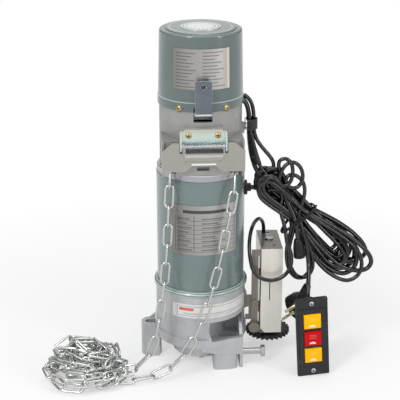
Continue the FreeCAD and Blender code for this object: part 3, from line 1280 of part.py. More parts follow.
def plug_pins():
    return [rod_x(PIN_R, -PIN_LENGTH, 6.0, 0.0, z) for z in plug_pin_spots()]


def plug_earth_clips():
    clips = []
    for y0 in (-PLUG_R + 0.1, PLUG_R - 1.0):
        clips.append(box(0.0, 8.0, y0, y0 + 0.9, -3.0, 3.0))
    return clips


# Cords

def tube(points, radius, name):
    """A cord: straight runs joined by arcs. Prints its smallest radius and compares its volume."""
    edges = []
    start = points[0]
    smallest = 1e9
    for k in range(1, len(points) - 1):
        a, b, c = points[k - 1], points[k], points[k + 1]
        into = (b - a).normalize()
        out = (c - b).normalize()
        turn = into.getAngle(out)
        if turn < 1e-3:
            continue
        reach = 0.45 * min((b - a).Length, (c - b).Length)
        arc_r = reach / math.tan(turn / 2)
        smallest = min(smallest, arc_r)
        first = b - into * reach
        last = b + out * reach
        bisector = (out - into).normalize()
        centre = b + bisector * (arc_r / math.cos(turn / 2))
        middle = centre - bisector * arc_r
        edges.append(Part.LineSegment(start, first).toShape())
        edges.append(Part.Arc(first, middle, last).toShape())
        start = last
    edges.append(Part.LineSegment(start, points[-1]).toShape())
    path = Part.Wire(edges)
    normal = (points[1] - points[0]).normalize()
    profile = Part.Wire(Part.makeCircle(radius, points[0], normal))
    shape = path.makePipeShell([profile], True, False)
    ratio = shape.Volume / (math.pi * radius ** 2 * path.Length)
    print("cord %s length %.0f smallest radius %.1f volume ratio %.3f" % (name, path.Length, smallest, ratio))
    return shape


def hank():
    return front(HANK_OUTLINE, HANK_FRONT_Y, HANK_FRONT_Y + HANK_DEPTH)


def cable_tie(hank_shape):
    """A flat band that closes round the waist of the hank."""
    span = TIE_B - TIE_A
    along = V(span.x, 0, span.z).normalize()
    across = V(-along.z, 0, along.x)
    start = TIE_A - along * TIE_T - across * (TIE_WIDTH / 2)
    width = span.Length + 2 * TIE_T
    y0 = HANK_FRONT_Y - TIE_T
    y1 = HANK_FRONT_Y + HANK_DEPTH + TIE_T
    corners = [start, start + along * width, start + along * width + across * TIE_WIDTH, start + across * TIE_WIDTH]
    return prism([V(p.x, y0, p.z) for p in corners], V(0, y1 - y0, 0)).cut(hank_shape)


MAINS_LEAD = [V(47.5, 3.15, 346.5), V(53.5, 3.15, 342.5), V(58, 3.15, 333.5), V(59.7, 3, 321), V(59.8, 2.9, 306),
              V(60.8, 2.5, 288), V(64, 0.5, 268), V(71, -2.5, 247.5)]
CONTROL_LEAD = [V(47.5, -3.15, 346.5), V(53.5, -3.15, 342.5), V(58, -3.15, 333.5), V(60, -3.2, 321),
                V(60.6, -3.2, 306), V(64.2, -3.6, 288), V(69.6, -5, 270), V(76, -7, 252.5)]
LIMIT_LEAD = [V(53, 0, 349.5), V(58.9, 0, 345.5), V(63.4, 0, 336.5), V(65.4, 0, 324), V(65.2, 0, 305), V(69, 0, 292),
              V(77, -1, 281), V(87, -3, 270), V(92.5, -4, 261.5)]
MOTOR_CABLE = [V(60, 0, 230), V(64, 0, 230), V(69, 0, 228.9), V(73.4, 0, 228.7)]
LIMIT_LOOP = [V(85, 40, 150), V(85, 39.5, 161), V(82, 35, 171.5), V(76, 26, 177.5), V(69.5, 14, 176.5), V(64, 2, 169.5),
              V(61.2, -9, 159), V(60.8, -16.5, 148), V(62, -21, 138), V(64.2, -23.5, 127.4), V(70.6, -25, 118.7),
              V(80, -25.4, 113.3), V(90.7, -25.4, 112.1), V(101, -25.4, 115.5), V(109, -25.4, 122.7),
              V(113.4, -25.2, 132.6), V(113.9, -25, 143.4), V(111.5, -25, 154), V(107, -25, 163)]
CONTROL_TAIL = [V(136, -22.35, 127), V(135.5, -30, 127.5), V(134.5, -37.5, 124.5), V(133.3, -44.5, 118),
                V(132.3, -50, 110), V(131.6, -53.2, 102), V(131.3, -53.6, 93.85)]
PLUG_LEAD = [V(135.7, -10.65, 92.7), V(136.75, -15.9, 101.0), V(137.3, -17.4, 109), V(137.3, -17.4, 116.95)]


def main():
    os.makedirs("parts", exist_ok=True)

    add("gearbox_housing", gearbox_housing())
    add("tension_bolt", tension_bolt())
    add("ring_gear", ring_gear())
    for index in range(PLANET_COUNT):
        add("planet_gear_%d" % (index + 1), planet(index))
    add("planet_carrier", planet_carrier())
    add("output_sprocket", output_sprocket())
    add("lower_end_shield", lower_shield())
    add("upper_end_shield", upper_shield())
    add("motor_barrel", motor_barrel())
    add("stator_core", stator_core())
    add("stator_windings", *windings())
    add("bearings", *(rotor_bearings() + output_bearings()))
    add("rotor_shaft", rotor_shaft())
    add("rotor_core", rotor_core())
    add("chain_wheel_housing", chain_wheel_housing())
    add("hand_chain_wheel", hand_chain_wheel())
    right, inside, left = chain_parts()
    add("hand_chain_strands", *(right + left))
    add("hand_chain_inside", *inside)
    pile = chain_pile()
    for link in right[:2] + left[-2:]:
        pile = pile.cut(link)
    add("hand_chain_pile", pile)
    print("links", len(right), len(inside), len(left))
    add("brake_disc", brake_disc())
    add("brake_armature", brake_armature())
    add("brake_pillars", *brake_pillars())
    add("brake_magnet", brake_magnet())
    add("brake_coil", brake_coil())
    add("release_lever", release_lever())
    add("end_cap", end_cap())
    add("cover_screws", *(cap_screws() + bracket_screws() + [place_station(screw) for screw in station_screws()]))
    add("body_plates", cap_badge(), wrapped_plate(CAP_PLATE, cap_radius), wrapped_plate(BARREL_PLATE, lambda z: BARREL_R),
        wrapped_plate(CASE_LABEL, lambda z: CASE_R))
    add("capacitor", capacitor())
    add("capacitor_clamp", capacitor_clamp())
    add("terminal_block", terminal_block())
    add("guide_bracket", guide_bracket())
    add("hinge_pins", hinge_pin(), lever_pin())
    add("guide_spring", guide_spring())
    add("chain_guide", chain_guide())
    add("cable_clip", cable_clip(), clip_screw())
    add("cable_grommet", cable_grommet())
    add("limit_frame", limit_frame())
    add("limit_cover", limit_cover())
    add("limit_screw", limit_screw())
    add("limit_wheel", limit_wheel())
    add("limit_nuts", limit_nut(NUT_HIGH_Z), limit_nut(NUT_LOW_Z))
    add("limit_guide_rod", guide_rod())
    add("limit_switches", microswitch(NUT_LOW_Z - 24.0), microswitch(NUT_HIGH_Z + NUT_H + 12.0))
    add("limit_holder", limit_holder(), holder_screw(), clamp_disc())
    station = {
        "station_plate": [station_plate()], "station_box": [station_box()],
        "station_contacts": contact_block(), "up_button": [button(0)], "stop_button": [button(1)],
        "down_button": [button(2)],
    }
    for name, shapes in station.items():
        add(name, *[place_station(shape) for shape in shapes])
    add("mains_plug", *[place_plug(shape) for shape in [plug_body()] + plug_pins() + plug_earth_clips()])
    hank_shape = hank()
    add("cord_hank", hank_shape)
    add("cable_tie", cable_tie(hank_shape))
    cords = {
        "mains_cord": [(MAINS_LEAD, CORD_R), (PLUG_LEAD, CORD_R - 0.1)],
        "control_cord": [(CONTROL_LEAD, CONTROL_CORD_R), (CONTROL_TAIL, CONTROL_CORD_R)],
        "limit_cord": [(LIMIT_LEAD, LIMIT_CORD_R), (LIMIT_LOOP, LIMIT_CORD_R)],
        "motor_cable": [(MOTOR_CABLE, CORD_R)],
    }
    for name, stretches in cords.items():
        add(name, *[tube(points, radius, name) for points, radius in stretches])

    for name, shape in parts.items():
        shape.exportStep("parts/%s.step" % name)
        if not shape.isValid():
            print("not valid:", name)
    print(len(parts), "nodes")


main()
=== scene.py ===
# %% [markdown]
# A roller door motor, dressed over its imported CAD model. The solids give every place and size, so this
# lesson only adds what solids lack: rounded edges, real chain links, cords that bend, and finishes.
# Routes and profiles are written in millimetres and become metres in the mesh.

# %% Load the frame
import json
import math

import bmesh
import bpy
import numpy as np
from mathutils import Matrix, Vector


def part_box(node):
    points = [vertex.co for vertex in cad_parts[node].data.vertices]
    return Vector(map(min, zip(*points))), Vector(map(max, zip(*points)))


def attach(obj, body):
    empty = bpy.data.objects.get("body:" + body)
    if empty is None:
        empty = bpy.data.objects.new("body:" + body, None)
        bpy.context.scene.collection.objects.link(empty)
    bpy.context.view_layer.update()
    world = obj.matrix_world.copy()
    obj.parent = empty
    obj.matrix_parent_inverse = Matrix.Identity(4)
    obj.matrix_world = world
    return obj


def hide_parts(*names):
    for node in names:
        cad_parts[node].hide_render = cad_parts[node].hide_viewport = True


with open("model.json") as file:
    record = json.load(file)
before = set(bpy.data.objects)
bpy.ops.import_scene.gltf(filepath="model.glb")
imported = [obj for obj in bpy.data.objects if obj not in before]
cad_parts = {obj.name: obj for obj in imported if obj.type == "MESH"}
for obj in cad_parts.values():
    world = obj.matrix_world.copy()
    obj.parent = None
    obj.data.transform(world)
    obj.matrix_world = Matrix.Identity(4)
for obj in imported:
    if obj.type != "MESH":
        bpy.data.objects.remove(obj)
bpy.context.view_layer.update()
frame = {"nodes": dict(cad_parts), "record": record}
nodes = frame["nodes"]
BODY_OF = {name: body for body, names in frame["record"]["behaviour"]["bodies"].items() for name in names}
STILL = "frame"
MM = 0.001

# %% [markdown]
# The photograph was taken from a little left of the front and from above. A camera is a point, a
# direction and a lens; here the place and the tilt come from the object's known heights, so the picture
# lines up with no trial and error.

# %% Camera
EYE = Vector((-0.0783, -1.3577, 0.725))
TILT = math.radians(20.6)
TURN = math.radians(-3.27)
SENSOR = 36.0
FOCAL_PIXELS = 1158
FRAME_PIXELS = 400
camera_data = bpy.data.cameras.new("camera")
camera_data.sensor_width = SENSOR
camera_data.lens = SENSOR * FOCAL_PIXELS / FRAME_PIXELS
camera = bpy.data.objects.new("camera", camera_data)
bpy.context.scene.collection.objects.link(camera)
camera.rotation_euler = (math.pi / 2 - TILT, 0, TURN)
camera.location = EYE
bpy.context.scene.camera = camera
print("lens %.1f mm" % camera_data.lens)

# %% [markdown]
# Every new piece here is a surface worked out with numpy: rows of points, and faces between neighbouring
# rows. One helper turns such a grid into a mesh, so the shape functions stay pure maths.

# %% Grids of points become meshes


def linked(name, data):
    """A new object in the scene, at the origin."""
    piece = bpy.data.objects.new(name, data)
    bpy.context.scene.collection.objects.link(piece)
    return piece


def unit(vectors):
    """Each vector over its own length."""
    return vectors / np.linalg.norm(vectors, axis=-1, keepdims=True)


def circle(count):
    """Angles evenly round a circle, the last one a step before the first."""
    return np.linspace(0, 2 * np.pi, count, endpoint=False)


def grid_faces(rows, columns, close_rows, close_columns):
    """Quads between neighbours on a grid; a closed direction joins its last line to its first."""
    r = np.arange(rows if close_rows else rows - 1)
    c = np.arange(columns if close_columns else columns - 1)
    r, c = np.meshgrid(r, c, indexing="ij")
    r2 = (r + 1) % rows
    c2 = (c + 1) % columns
    corners = [r * columns + c, r * columns + c2, r2 * columns + c2, r2 * columns + c]
    return np.stack(corners, axis=-1).reshape(-1, 4)


def mesh_piece(name, points, faces, material, replaces=()):
    """A mesh object from points in millimetres and a list of faces, on the body that stands still."""
    mesh = bpy.data.meshes.new(name)
    places = (points * MM).reshape(-1, 3).tolist()
    mesh.from_pydata(places, [], [list(map(int, face)) for face in faces])
    mesh.update()
    work = bmesh.new()
    work.from_mesh(mesh)
    bmesh.ops.recalc_face_normals(work, faces=work.faces)
    work.to_mesh(mesh)
    work.free()
    mesh.polygons.foreach_set("use_smooth", np.ones(len(mesh.polygons), dtype=bool))
    mesh.materials.append(material)
    piece = linked(name, mesh)
    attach(piece, STILL)
    if replaces:
        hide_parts(*replaces)
    return piece


def tube_piece(name, points, material, replaces=()):
    """A tube of rings, with a flat cap on each end."""
    rows, columns = points.shape[:2]
    faces = [list(face) for face in grid_faces(rows, columns, False, True)]
    faces.append(list(range(columns)))
    faces.append([(rows - 1) * columns + k for k in range(columns)])
    return mesh_piece(name, points, faces, material, replaces)


def turned(profile, steps):
    """A profile of (radius, height) turned about +Z: x = r cos t, y = r sin t, z = h."""
    profile = np.asarray(profile, dtype=float)
    t = circle(steps)
    r = profile[:, :1]
    return np.stack([r * np.cos(t), r * np.sin(t), np.repeat(profile[:, 1:2], steps, axis=1)], axis=-1)


def along_path(path, radius, sides):
    """A round section carried along a path. Each ring's frame is the last one, turned as little as possible:
    the old side less its share along the new direction."""
    path = np.asarray(path, dtype=float)
    step = unit(np.gradient(path, axis=0))
    side = np.cross(step[0], [0, 0, 1.0])
    if np.linalg.norm(side) < 1e-3:
        side = np.cross(step[0], [0, 1.0, 0])
    across = []
    for direction in step:
        side = unit(side - direction * side.dot(direction))
        across.append(side)
    u = np.array(across)
    v = np.cross(step, u)
    t = circle(sides)[None, :, None]
    return path[:, None, :] + radius * (np.cos(t) * u[:, None, :] + np.sin(t) * v[:, None, :])


def moved(points, matrix):
    """Points carried by a 4 by 4 matrix: new = rotation times old plus shift."""
    m = np.array(matrix)
    return points @ m[:3, :3].T + m[:3, 3]


# %% [markdown]
# Shader maths reads best as plain arithmetic. A small class holds a socket, and its operators add the
# Math nodes, so a mask can be written as 1 - dirt * 0.5 and a test as height > 0.2.

# %% Shader arithmetic and one way to make any node


def operator(operation, reflected=False):
    """A method that adds one Math node. The reflected form has the other value first, as in 1 - mask."""
    def method(self, other):
        return self.maths(operation, other, self) if reflected else self.maths(operation, self, other)
    return method


class Tone:
    """A number inside a node tree. A comparison gives 1 where it holds and 0 elsewhere."""

    def __init__(self, tree, socket):
        self.tree = tree
        self.socket = socket

    def maths(self, operation, a, b=0.0):
        node = self.tree.nodes.new("ShaderNodeMath")
        node.operation = operation
        for slot, value in zip(node.inputs, (a, b)):
            if isinstance(value, Tone):
                self.tree.links.new(value.socket, slot)
            else:
                slot.default_value = value
        return Tone(self.tree, node.outputs[0])

    __add__ = operator("ADD")
    __radd__ = operator("ADD", reflected=True)
    __sub__ = operator("SUBTRACT")
    __rsub__ = operator("SUBTRACT", reflected=True)
    __mul__ = operator("MULTIPLY")
    __rmul__ = operator("MULTIPLY", reflected=True)
    __truediv__ = operator("DIVIDE")
    __pow__ = operator("POWER")
    __gt__ = operator("GREATER_THAN")
    __lt__ = operator("LESS_THAN")

    def fract(self):
        return self.maths("FRACT", self)


def srgb(code):
    """A colour as it is seen, such as 6E8282, into the linear numbers a shader mixes."""
    parts = np.array([int(code[k:k + 2], 16) for k in (0, 2, 4)]) / 255
    linear = np.where(parts <= 0.04045, parts / 12.92, ((parts + 0.055) / 1.055) ** 2.4)
    return (*map(float, linear), 1.0)


def compass(x, y):
    """The angle round the motor's axis in degrees, 0 at the front: the arctangent of x over minus y."""
    return x.maths("ARCTAN2", x, 0 - y) * (180 / math.pi)


class Wiring:
    """The node tree of a material or a world, emptied, and the one method that puts nodes in it."""

    def __init__(self, owner):
        owner.use_nodes = True
        self.owner = owner
        self.tree = owner.node_tree
        self.tree.nodes.clear()

    def node(self, kind, settings=None, sockets=None, out=0):
        made = self.tree.nodes.new("ShaderNode" + kind)
        for key, value in (settings or {}).items():
            setattr(made, key, value)
        for key, value in (sockets or {}).items():
            if isinstance(value, Tone):
                self.tree.links.new(value.socket, made.inputs[key])
            else:
                made.inputs[key].default_value = value
        return Tone(self.tree, made.outputs[out])

    def split(self, where):
        """The three numbers of a place."""
        made = self.tree.nodes.new("ShaderNodeSeparateXYZ")
        self.tree.links.new(where.socket, made.inputs[0])
        return [Tone(self.tree, made.outputs[k]) for k in range(3)]

    def close(self, kind, shader):
        """Joins a shader to the output node, and gives back the material or the world."""
        end = self.tree.nodes.new("ShaderNode" + kind)
        self.tree.links.new(shader.socket, end.inputs[0])
        return self.owner


class Finish(Wiring):
    """A material. Its patterns lie on Object coordinates, which are metres in the frame of the CAD."""

    def __init__(self, name):
        super().__init__(bpy.data.materials.new(name))

    def place(self):
        return self.node("TexCoord", out="Object")

    def parts(self):
        return self.split(self.place())

    def noise(self, scale, detail, squash=(1, 1, 1)):
        where = self.node("Mapping", sockets={"Vector": self.place(), "Scale": squash})
        sockets = {"Vector": where, "Scale": scale, "Detail": detail, "Roughness": 0.55}
        return self.node("TexNoise", sockets=sockets)

    def ramp(self, value, low, high):
        """0 below low, 1 above high, a straight slope between."""
        return self.node("MapRange", sockets={"Value": value, "From Min": low, "From Max": high})

    def band(self, value, low, high):
        """1 between two limits, 0 outside."""
        return (value > low) * (value < high)

    def mix(self, amount, a, b):
        """Two colours, each a link or a code as it is seen, mixed by an amount."""
        a, b = (srgb(colour) if isinstance(colour, str) else colour for colour in (a, b))
        return self.node("Mix", {"data_type": "RGBA"}, {0: amount, 6: a, 7: b}, out=2)

    def bump(self, height, distance, strength):
        return self.node("Bump", sockets={"Height": height, "Distance": distance, "Strength": strength})

    def finish(self, sockets):
        return self.close("OutputMaterial", self.node("BsdfPrincipled", sockets=sockets))


# %% [markdown]
# The cap, base ring and barrel wear one grey-green enamel. It is nearly smooth, with a faint orange peel,
# a little dust and tiny chips, which are noise at three scales. Pale lines are painted on the enamel as
# highlights, along the cap's rim and in its pressed groove, and the bends of the lever and the guide carry
# painted highlights too. The castings are rough and pitted, and rolled sheet has hair lines.

# %% Enamel, castings and rolled metal
# Pale tone of the highlights painted on the enamel, in the cap's groove and along the top of its rim.
HIGHLIGHT_PALE = "C3CFCC"
GROOVE_HALF = 0.0007
RIM_GLINT_BELOW, RIM_GLINT_ABOVE = 0.0009, 0.0003
# Heights of the highlights painted on the lever's bend and on the guide's bent middle.
LEVER_GLINT_BELOW, LEVER_GLINT_ABOVE = 0.01, 0.0035
GUIDE_GLINT_HIGH, GUIDE_GLINT_HALF = 0.0024, 0.0145


def enamel(name, colour, dust, chip, ring=None, rim_glint_z=None):
    """Stoved enamel. Ring is the radius of a pressed channel whose pale tone is a painted highlight; the last
    argument is the height of a pale line painted along the rim as its highlight.
    """
    f = Finish(name)
    peel = f.noise(900.0, 2.0)
    cloud = f.noise(18.0, 5.0)
    specks = f.ramp(f.noise(520.0, 3.0), 0.70, 0.74)
    streaks = f.noise(60.0, 4.0, squash=(1, 1, 0.08))
    tone = f.mix(f.ramp(cloud, 0.35, 0.7) * 0.7, colour, dust)
    tone = f.mix(f.ramp(streaks, 0.55, 0.8) * 0.25, tone, dust)
    tone = f.mix(specks * 0.35, tone, chip)
    height = peel - 0.4 * specks
    if ring:
        x, y, _ = f.parts()
        # The groove's bump is real; its pale tone is a painted highlight.
        groove_glint = f.band((x * x + y * y) ** 0.5, ring - GROOVE_HALF, ring + GROOVE_HALF)
        tone = f.mix(groove_glint * 0.55, tone, HIGHLIGHT_PALE)
        height = height - 3.0 * groove_glint
    if rim_glint_z:
        # A pale band at the top of the cap's rim: painted highlight.
        tone = f.mix(f.band(f.parts()[2], rim_glint_z - RIM_GLINT_BELOW, rim_glint_z + RIM_GLINT_ABOVE) * 0.6, tone, HIGHLIGHT_PALE)
    return f.finish({
        "Base Color": tone, "Metallic": 0.1, "Roughness": 0.2 + 0.14 * cloud + 0.15 * specks,
        "Coat Weight": 0.35, "Coat Roughness": 0.1, "Normal": f.bump(height, 0.0001, 0.5),
    })


def casting(name, colour, dark, grain=1400.0, metal=0.55, rough=0.42, glint_z=None):
    """Rough metal: fine pits, a cloud of tone, dirt in blotches. The last argument is the height of a bent
    edge painted near white as its highlight.
    """
    f = Finish(name)
    pits = f.noise(grain, 3.0)
    cloud = f.noise(26.0, 6.0)
    stain = f.ramp(f.noise(75.0, 5.0), 0.55, 0.75)
    tone = f.mix(f.ramp(cloud, 0.3, 0.75) * 0.6, colour, dark)
    tone = f.mix(stain * 0.3, tone, dark)
    tone = f.mix(f.ramp(pits, 0.66, 0.74) * 0.5, tone, dark)
    if glint_z:
        # A near-white band at the lever's bend: painted highlight.
        bright = f.band(f.parts()[2], glint_z - LEVER_GLINT_BELOW, glint_z + LEVER_GLINT_ABOVE)
        tone = f.mix(bright * 0.8, tone, "E6EAEC")
    return f.finish({
        "Base Color": tone, "Metallic": metal, "Roughness": rough + 0.2 * cloud + 0.1 * stain,
        "Normal": f.bump(pits + 0.4 * cloud, 0.00012, 0.6),
    })


def drawn(name, colour, dark, direction=(1, 1, 0.03), metal=0.9, rough=0.28, scale=900.0, glint_z=None):
    """Rolled or machined metal: hair lines along one direction and a few deeper scratches. The last argument
    is the height of a bent middle of the piece, painted near white there as its highlight."""
    f = Finish(name)
    hair = f.noise(scale, 3.0, squash=direction)
    cloud = f.noise(40.0, 4.0)
    scratch = f.ramp(f.noise(160.0, 2.0, squash=direction), 0.66, 0.7)
    tone = f.mix(hair * 0.5 + 0.3 * cloud, colour, dark)
    tone = f.mix(scratch * 0.3, tone, dark)
    if glint_z:
        x, _, z = f.parts()
        # A near-white band on the guide's bent middle: painted highlight.
        bright = f.band(z, glint_z, glint_z + GUIDE_GLINT_HIGH) * f.band(x, -GUIDE_GLINT_HALF, GUIDE_GLINT_HALF)
        tone = f.mix(bright * 0.85, tone, "F4F4F0")
    return f.finish({
        "Base Color": tone, "Metallic": metal, "Roughness": rough + 0.15 * hair + 0.1 * cloud,
        "Normal": f.bump(hair - scratch, 0.00005, 0.5),
    })


EVEN = (1, 1, 1)
PAINT = enamel("green_enamel", "6B7B7B", "778786", "566565")
CAP_PAINT = enamel("cap_enamel", "576664", "667573", "46544F", ring=0.0375, rim_glint_z=0.3540)
# Pale enamel for the rounded rims of cap and base ring: painted highlight.
ENAMEL_RIM_HIGHLIGHT = enamel("enamel_edge", "B3C2BF", "BCC9C6", "8EA09D")
SHEET_FRAME = enamel("limit_frame_coat", "716A60", "80786E", "4C463E")
CAST = casting("cast_silver", "A6A5A3", "848383")
CAST_ARM = casting("cast_gearbox", "C2C4C6", "A0A2A5")
# Near-white finish for the rounded edges of the castings: bare edge with a painted highlight.
CAST_RIM_HIGHLIGHT = casting("cast_edge", "E4E6E8", "C8CACC", metal=0.6, rough=0.25)
DARK_STEEL = casting("dark_wheel", "3C3731", "241F1B", metal=0.35, rough=0.45)
LEVER = casting("lever_sheet", "747B84", "4A5058", grain=420.0, metal=0.75, rough=0.25, glint_z=0.3395)
SHIELD = drawn("shield_ring", "BDBBC2", "8A8890", direction=(1, 1, 0.4), rough=0.2)
GUIDE = drawn("guide_sheet", "ACA8A2", "918D88", direction=(0.3, 1, 1), metal=0.65, rough=0.28, glint_z=0.2828)
# Near-white finish for the rounded cut edges of sheet parts: bare steel with a painted highlight.
BARE_EDGE_HIGHLIGHT = drawn("cut_edge", "F0F0EC", "D0D0CA", EVEN, metal=0.6, rough=0.25)
STEEL = drawn("machined_steel", "C4C6C8", "85878B", metal=0.95, rough=0.18)
CHAIN = drawn("chain_zinc", "D3D5D2", "9EA19D", EVEN, metal=0.95, rough=0.08, scale=420.0)
BRASS = drawn("yellow_screw", "DCC48A", "94783C", EVEN, rough=0.18)
PIN_METAL = drawn("plug_pin_metal", "D9D0B4", "A89C78", EVEN, rough=0.16)
COPPER = drawn("copper_wire", "B4683A", "6E3A1C", EVEN, metal=0.8, rough=0.35)
LAMINATION = drawn("stacked_sheet", "6C6E72", "3A3C40", direction=(0.02, 0.02, 1), metal=0.7, rough=0.45)
COVER = drawn("limit_cover_sheet", "E6E2D9", "CDC9C1", (1, 1, 0.1), metal=0.2, rough=0.2, scale=300.0)
print("materials so far", len(bpy.data.materials))

# %% [markdown]
# The plug and the button station are black mouldings with a fine grain, and the cords' sheath is
# smoother, so that a lamp leaves a thin bright line on it. The buttons are clear and coloured, each with
# a pale half moon painted on as a highlight, and ruled lines. The guide's bracket is zinc whose tint
# drifts, and the clip is half bare and half sleeved.

# %% Mouldings, sheath, buttons and plated sheet
# Place and size of the highlight painted low on each button.
GLINT_DROP, GLINT_WIDE, GLINT_TALL = 0.0072, 0.0042, 0.0030
LINE_HALF, LINE_THICK = 0.0045, 0.0004
LINE_HEIGHTS = (0.0005, 0.0025, 0.0045)
BRACKET_LOW, BRACKET_HIGH = 0.297, 0.324
SLEEVE_START_X = 0.0562


def moulded(name, colour, shade, rough=0.45, grain=1500.0, coat=0.0, shine=0.5):
    """Moulded plastic or rubber: a fine grain, slight shade drift, and handling marks."""
    f = Finish(name)
    grains = f.noise(grain, 2.0)
    cloud = f.noise(34.0, 4.0)
    marks = f.ramp(f.noise(130.0, 6.0), 0.6, 0.72)
    tone = f.mix(f.ramp(cloud, 0.35, 0.75), colour, shade)
    tone = f.mix(marks * 0.18, tone, "8A8A88")
    return f.finish({
        "Base Color": tone, "Roughness": rough + 0.12 * cloud + 0.12 * marks, "Specular IOR Level": shine,
        "Coat Weight": coat, "Coat Roughness": 0.2, "Normal": f.bump(grains, 0.00006, 0.5),
    })


def sheath():
    """Drawn plastic sheath: almost black and glossy, with hardly any grain."""
    f = Finish("cord_sheath")
    cloud = f.noise(45.0, 3.0)
    rubs = f.ramp(f.noise(150.0, 4.0), 0.62, 0.74)
    tone = f.mix(cloud, "070708", "0D0D0E")
    tone = f.mix(rubs * 0.12, tone, "5A5A5C")
    return f.finish({
        "Base Color": tone, "Roughness": 0.07 + 0.05 * cloud + 0.1 * rubs, "Specular IOR Level": 0.62,
        "Normal": f.bump(cloud, 0.00004, 0.3),
    })


def lens(name, colour, shade, node):
    """A clear coloured button with a painted highlight, a pale half oval: where (x / wide) squared plus (z /
    high) squared is under 1.
    """
    f = Finish(name)
    low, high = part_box(node)
    cx, cz = float(low[0] + high[0]) / 2, float(low[2] + high[2]) / 2
    x, _, z = f.parts()
    cloud = f.noise(60.0, 3.0)
    base = cz - GLINT_DROP
    oval = ((x - cx) * (1 / GLINT_WIDE)) ** 2 + ((z - base) * (1 / GLINT_TALL)) ** 2
    # The pale half moon low on the button is a painted highlight.
    lens_glint = (oval < 1.0) * (z > base)
    lines = sum(f.band(z, cz + k, cz + k + LINE_THICK) for k in LINE_HEIGHTS)
    lines = lines * f.band(x, cx - LINE_HALF, cx + LINE_HALF)
    tone = f.mix(cloud, colour, shade)
    tone = f.mix(lens_glint * 0.75, tone, "FFF6DC")
    tone = f.mix(lines * 0.3, tone, "FFE9C8")
    return f.finish({
        "Base Color": tone, "Roughness": 0.12 + 0.1 * cloud, "Specular IOR Level": 0.12,
        "Normal": f.bump(cloud, 0.00004, 0.4),
    })


def tinted_zinc():
    """Bright zinc with the faint green and rose of a passivated coat, which drifts with the height."""
    f = Finish("zinc_sheet")
    hair = f.noise(900.0, 3.0, squash=(0.2, 1, 1))
    drift = f.noise(34.0, 3.0) * 0.5 + 0.5 * f.ramp(f.parts()[2], BRACKET_LOW, BRACKET_HIGH)
    tone = f.mix(f.ramp(drift, 0.35, 0.55), "BFDADB", "D0DCCF")
    tone = f.mix(f.ramp(drift, 0.55, 0.8), tone, "C6BFB6")
    tone = f.mix(hair * 0.3, tone, "8FA3A6")
    return f.finish({
        "Base Color": tone, "Metallic": 0.8, "Roughness": 0.2 + 0.15 * hair,
        "Normal": f.bump(hair, 0.00005, 0.5),
    })


def strap_and_tab():
    """The clip: a zinc tab near the housing, and past it a strap sleeved in black."""
    f = Finish("clip_strap")
    sleeved = f.parts()[0] > SLEEVE_START_X
    grain = f.noise(800.0, 3.0)
    tone = f.mix(sleeved, f.mix(grain * 0.4, "D5D6E0", "9C9DA8"), "161618")
    return f.finish({
        "Base Color": tone, "Metallic": 0.85 - 0.85 * sleeved,
        "Roughness": 0.25 + 0.15 * sleeved + 0.1 * grain, "Normal": f.bump(grain, 0.00005, 0.5),
    })


BLACK = moulded("black_moulding", "101012", "18181A", rough=0.3, shine=0.3)
BROWN = moulded("brown_moulding", "5A3226", "3C1F18", rough=0.35, coat=0.3)
WHITE = moulded("white_moulding", "DADAD4", "BFBFB8", rough=0.4)
STATION = moulded("station_moulding", "26262A", "1F1F22", rough=0.46, grain=1900.0, shine=0.35)
CORD = sheath()
YELLOW = lens("yellow_button", "FFC200", "F8B600", "up_button")
YELLOW_LOW = lens("yellow_button_low", "FFC200", "F8B600", "down_button")
RED = lens("red_button", "D20A18", "BC0814", "stop_button")
ZINC = tinted_zinc()
CLIP = strap_and_tab()
print("materials so far", len(bpy.data.materials))

# %% [markdown]
# The plates are printed foil: a ruled table, blocks of ruled lines, and rings on the badge. They are
# worked out from the height and the angle round the motor rather than drawn flat, so they bend with the
# plate.

# %% Printed plates
CASE_LABEL = (0.07, 0.10)
CAP_PLATE = (0.36, 0.42)
BADGE_Z = 0.43
TABLE = (0.1660, 0.2125)
TABLE_ROW = 0.0058
WORDS_LOW = 0.1678
HEADING = (0.2165, 0.2205)
CAP_LEFT, CAP_RIGHT = (0.3725, 0.4145), (0.3735, 0.4155)
CAP_ROW = 0.0040
BOX_FOOT, BOX_HEAD = (0.0795, 0.0803), (0.0922, 0.0930)
RED_BAR = (0.0868, 0.0908)
BOX_RULE = (0.0820, 0.0838)
WIDE_RING, DASHED_RING = (0.0208, 0.0222), (0.0165, 0.0182)
DASH_PITCH = 17.0
THIN = 0.8


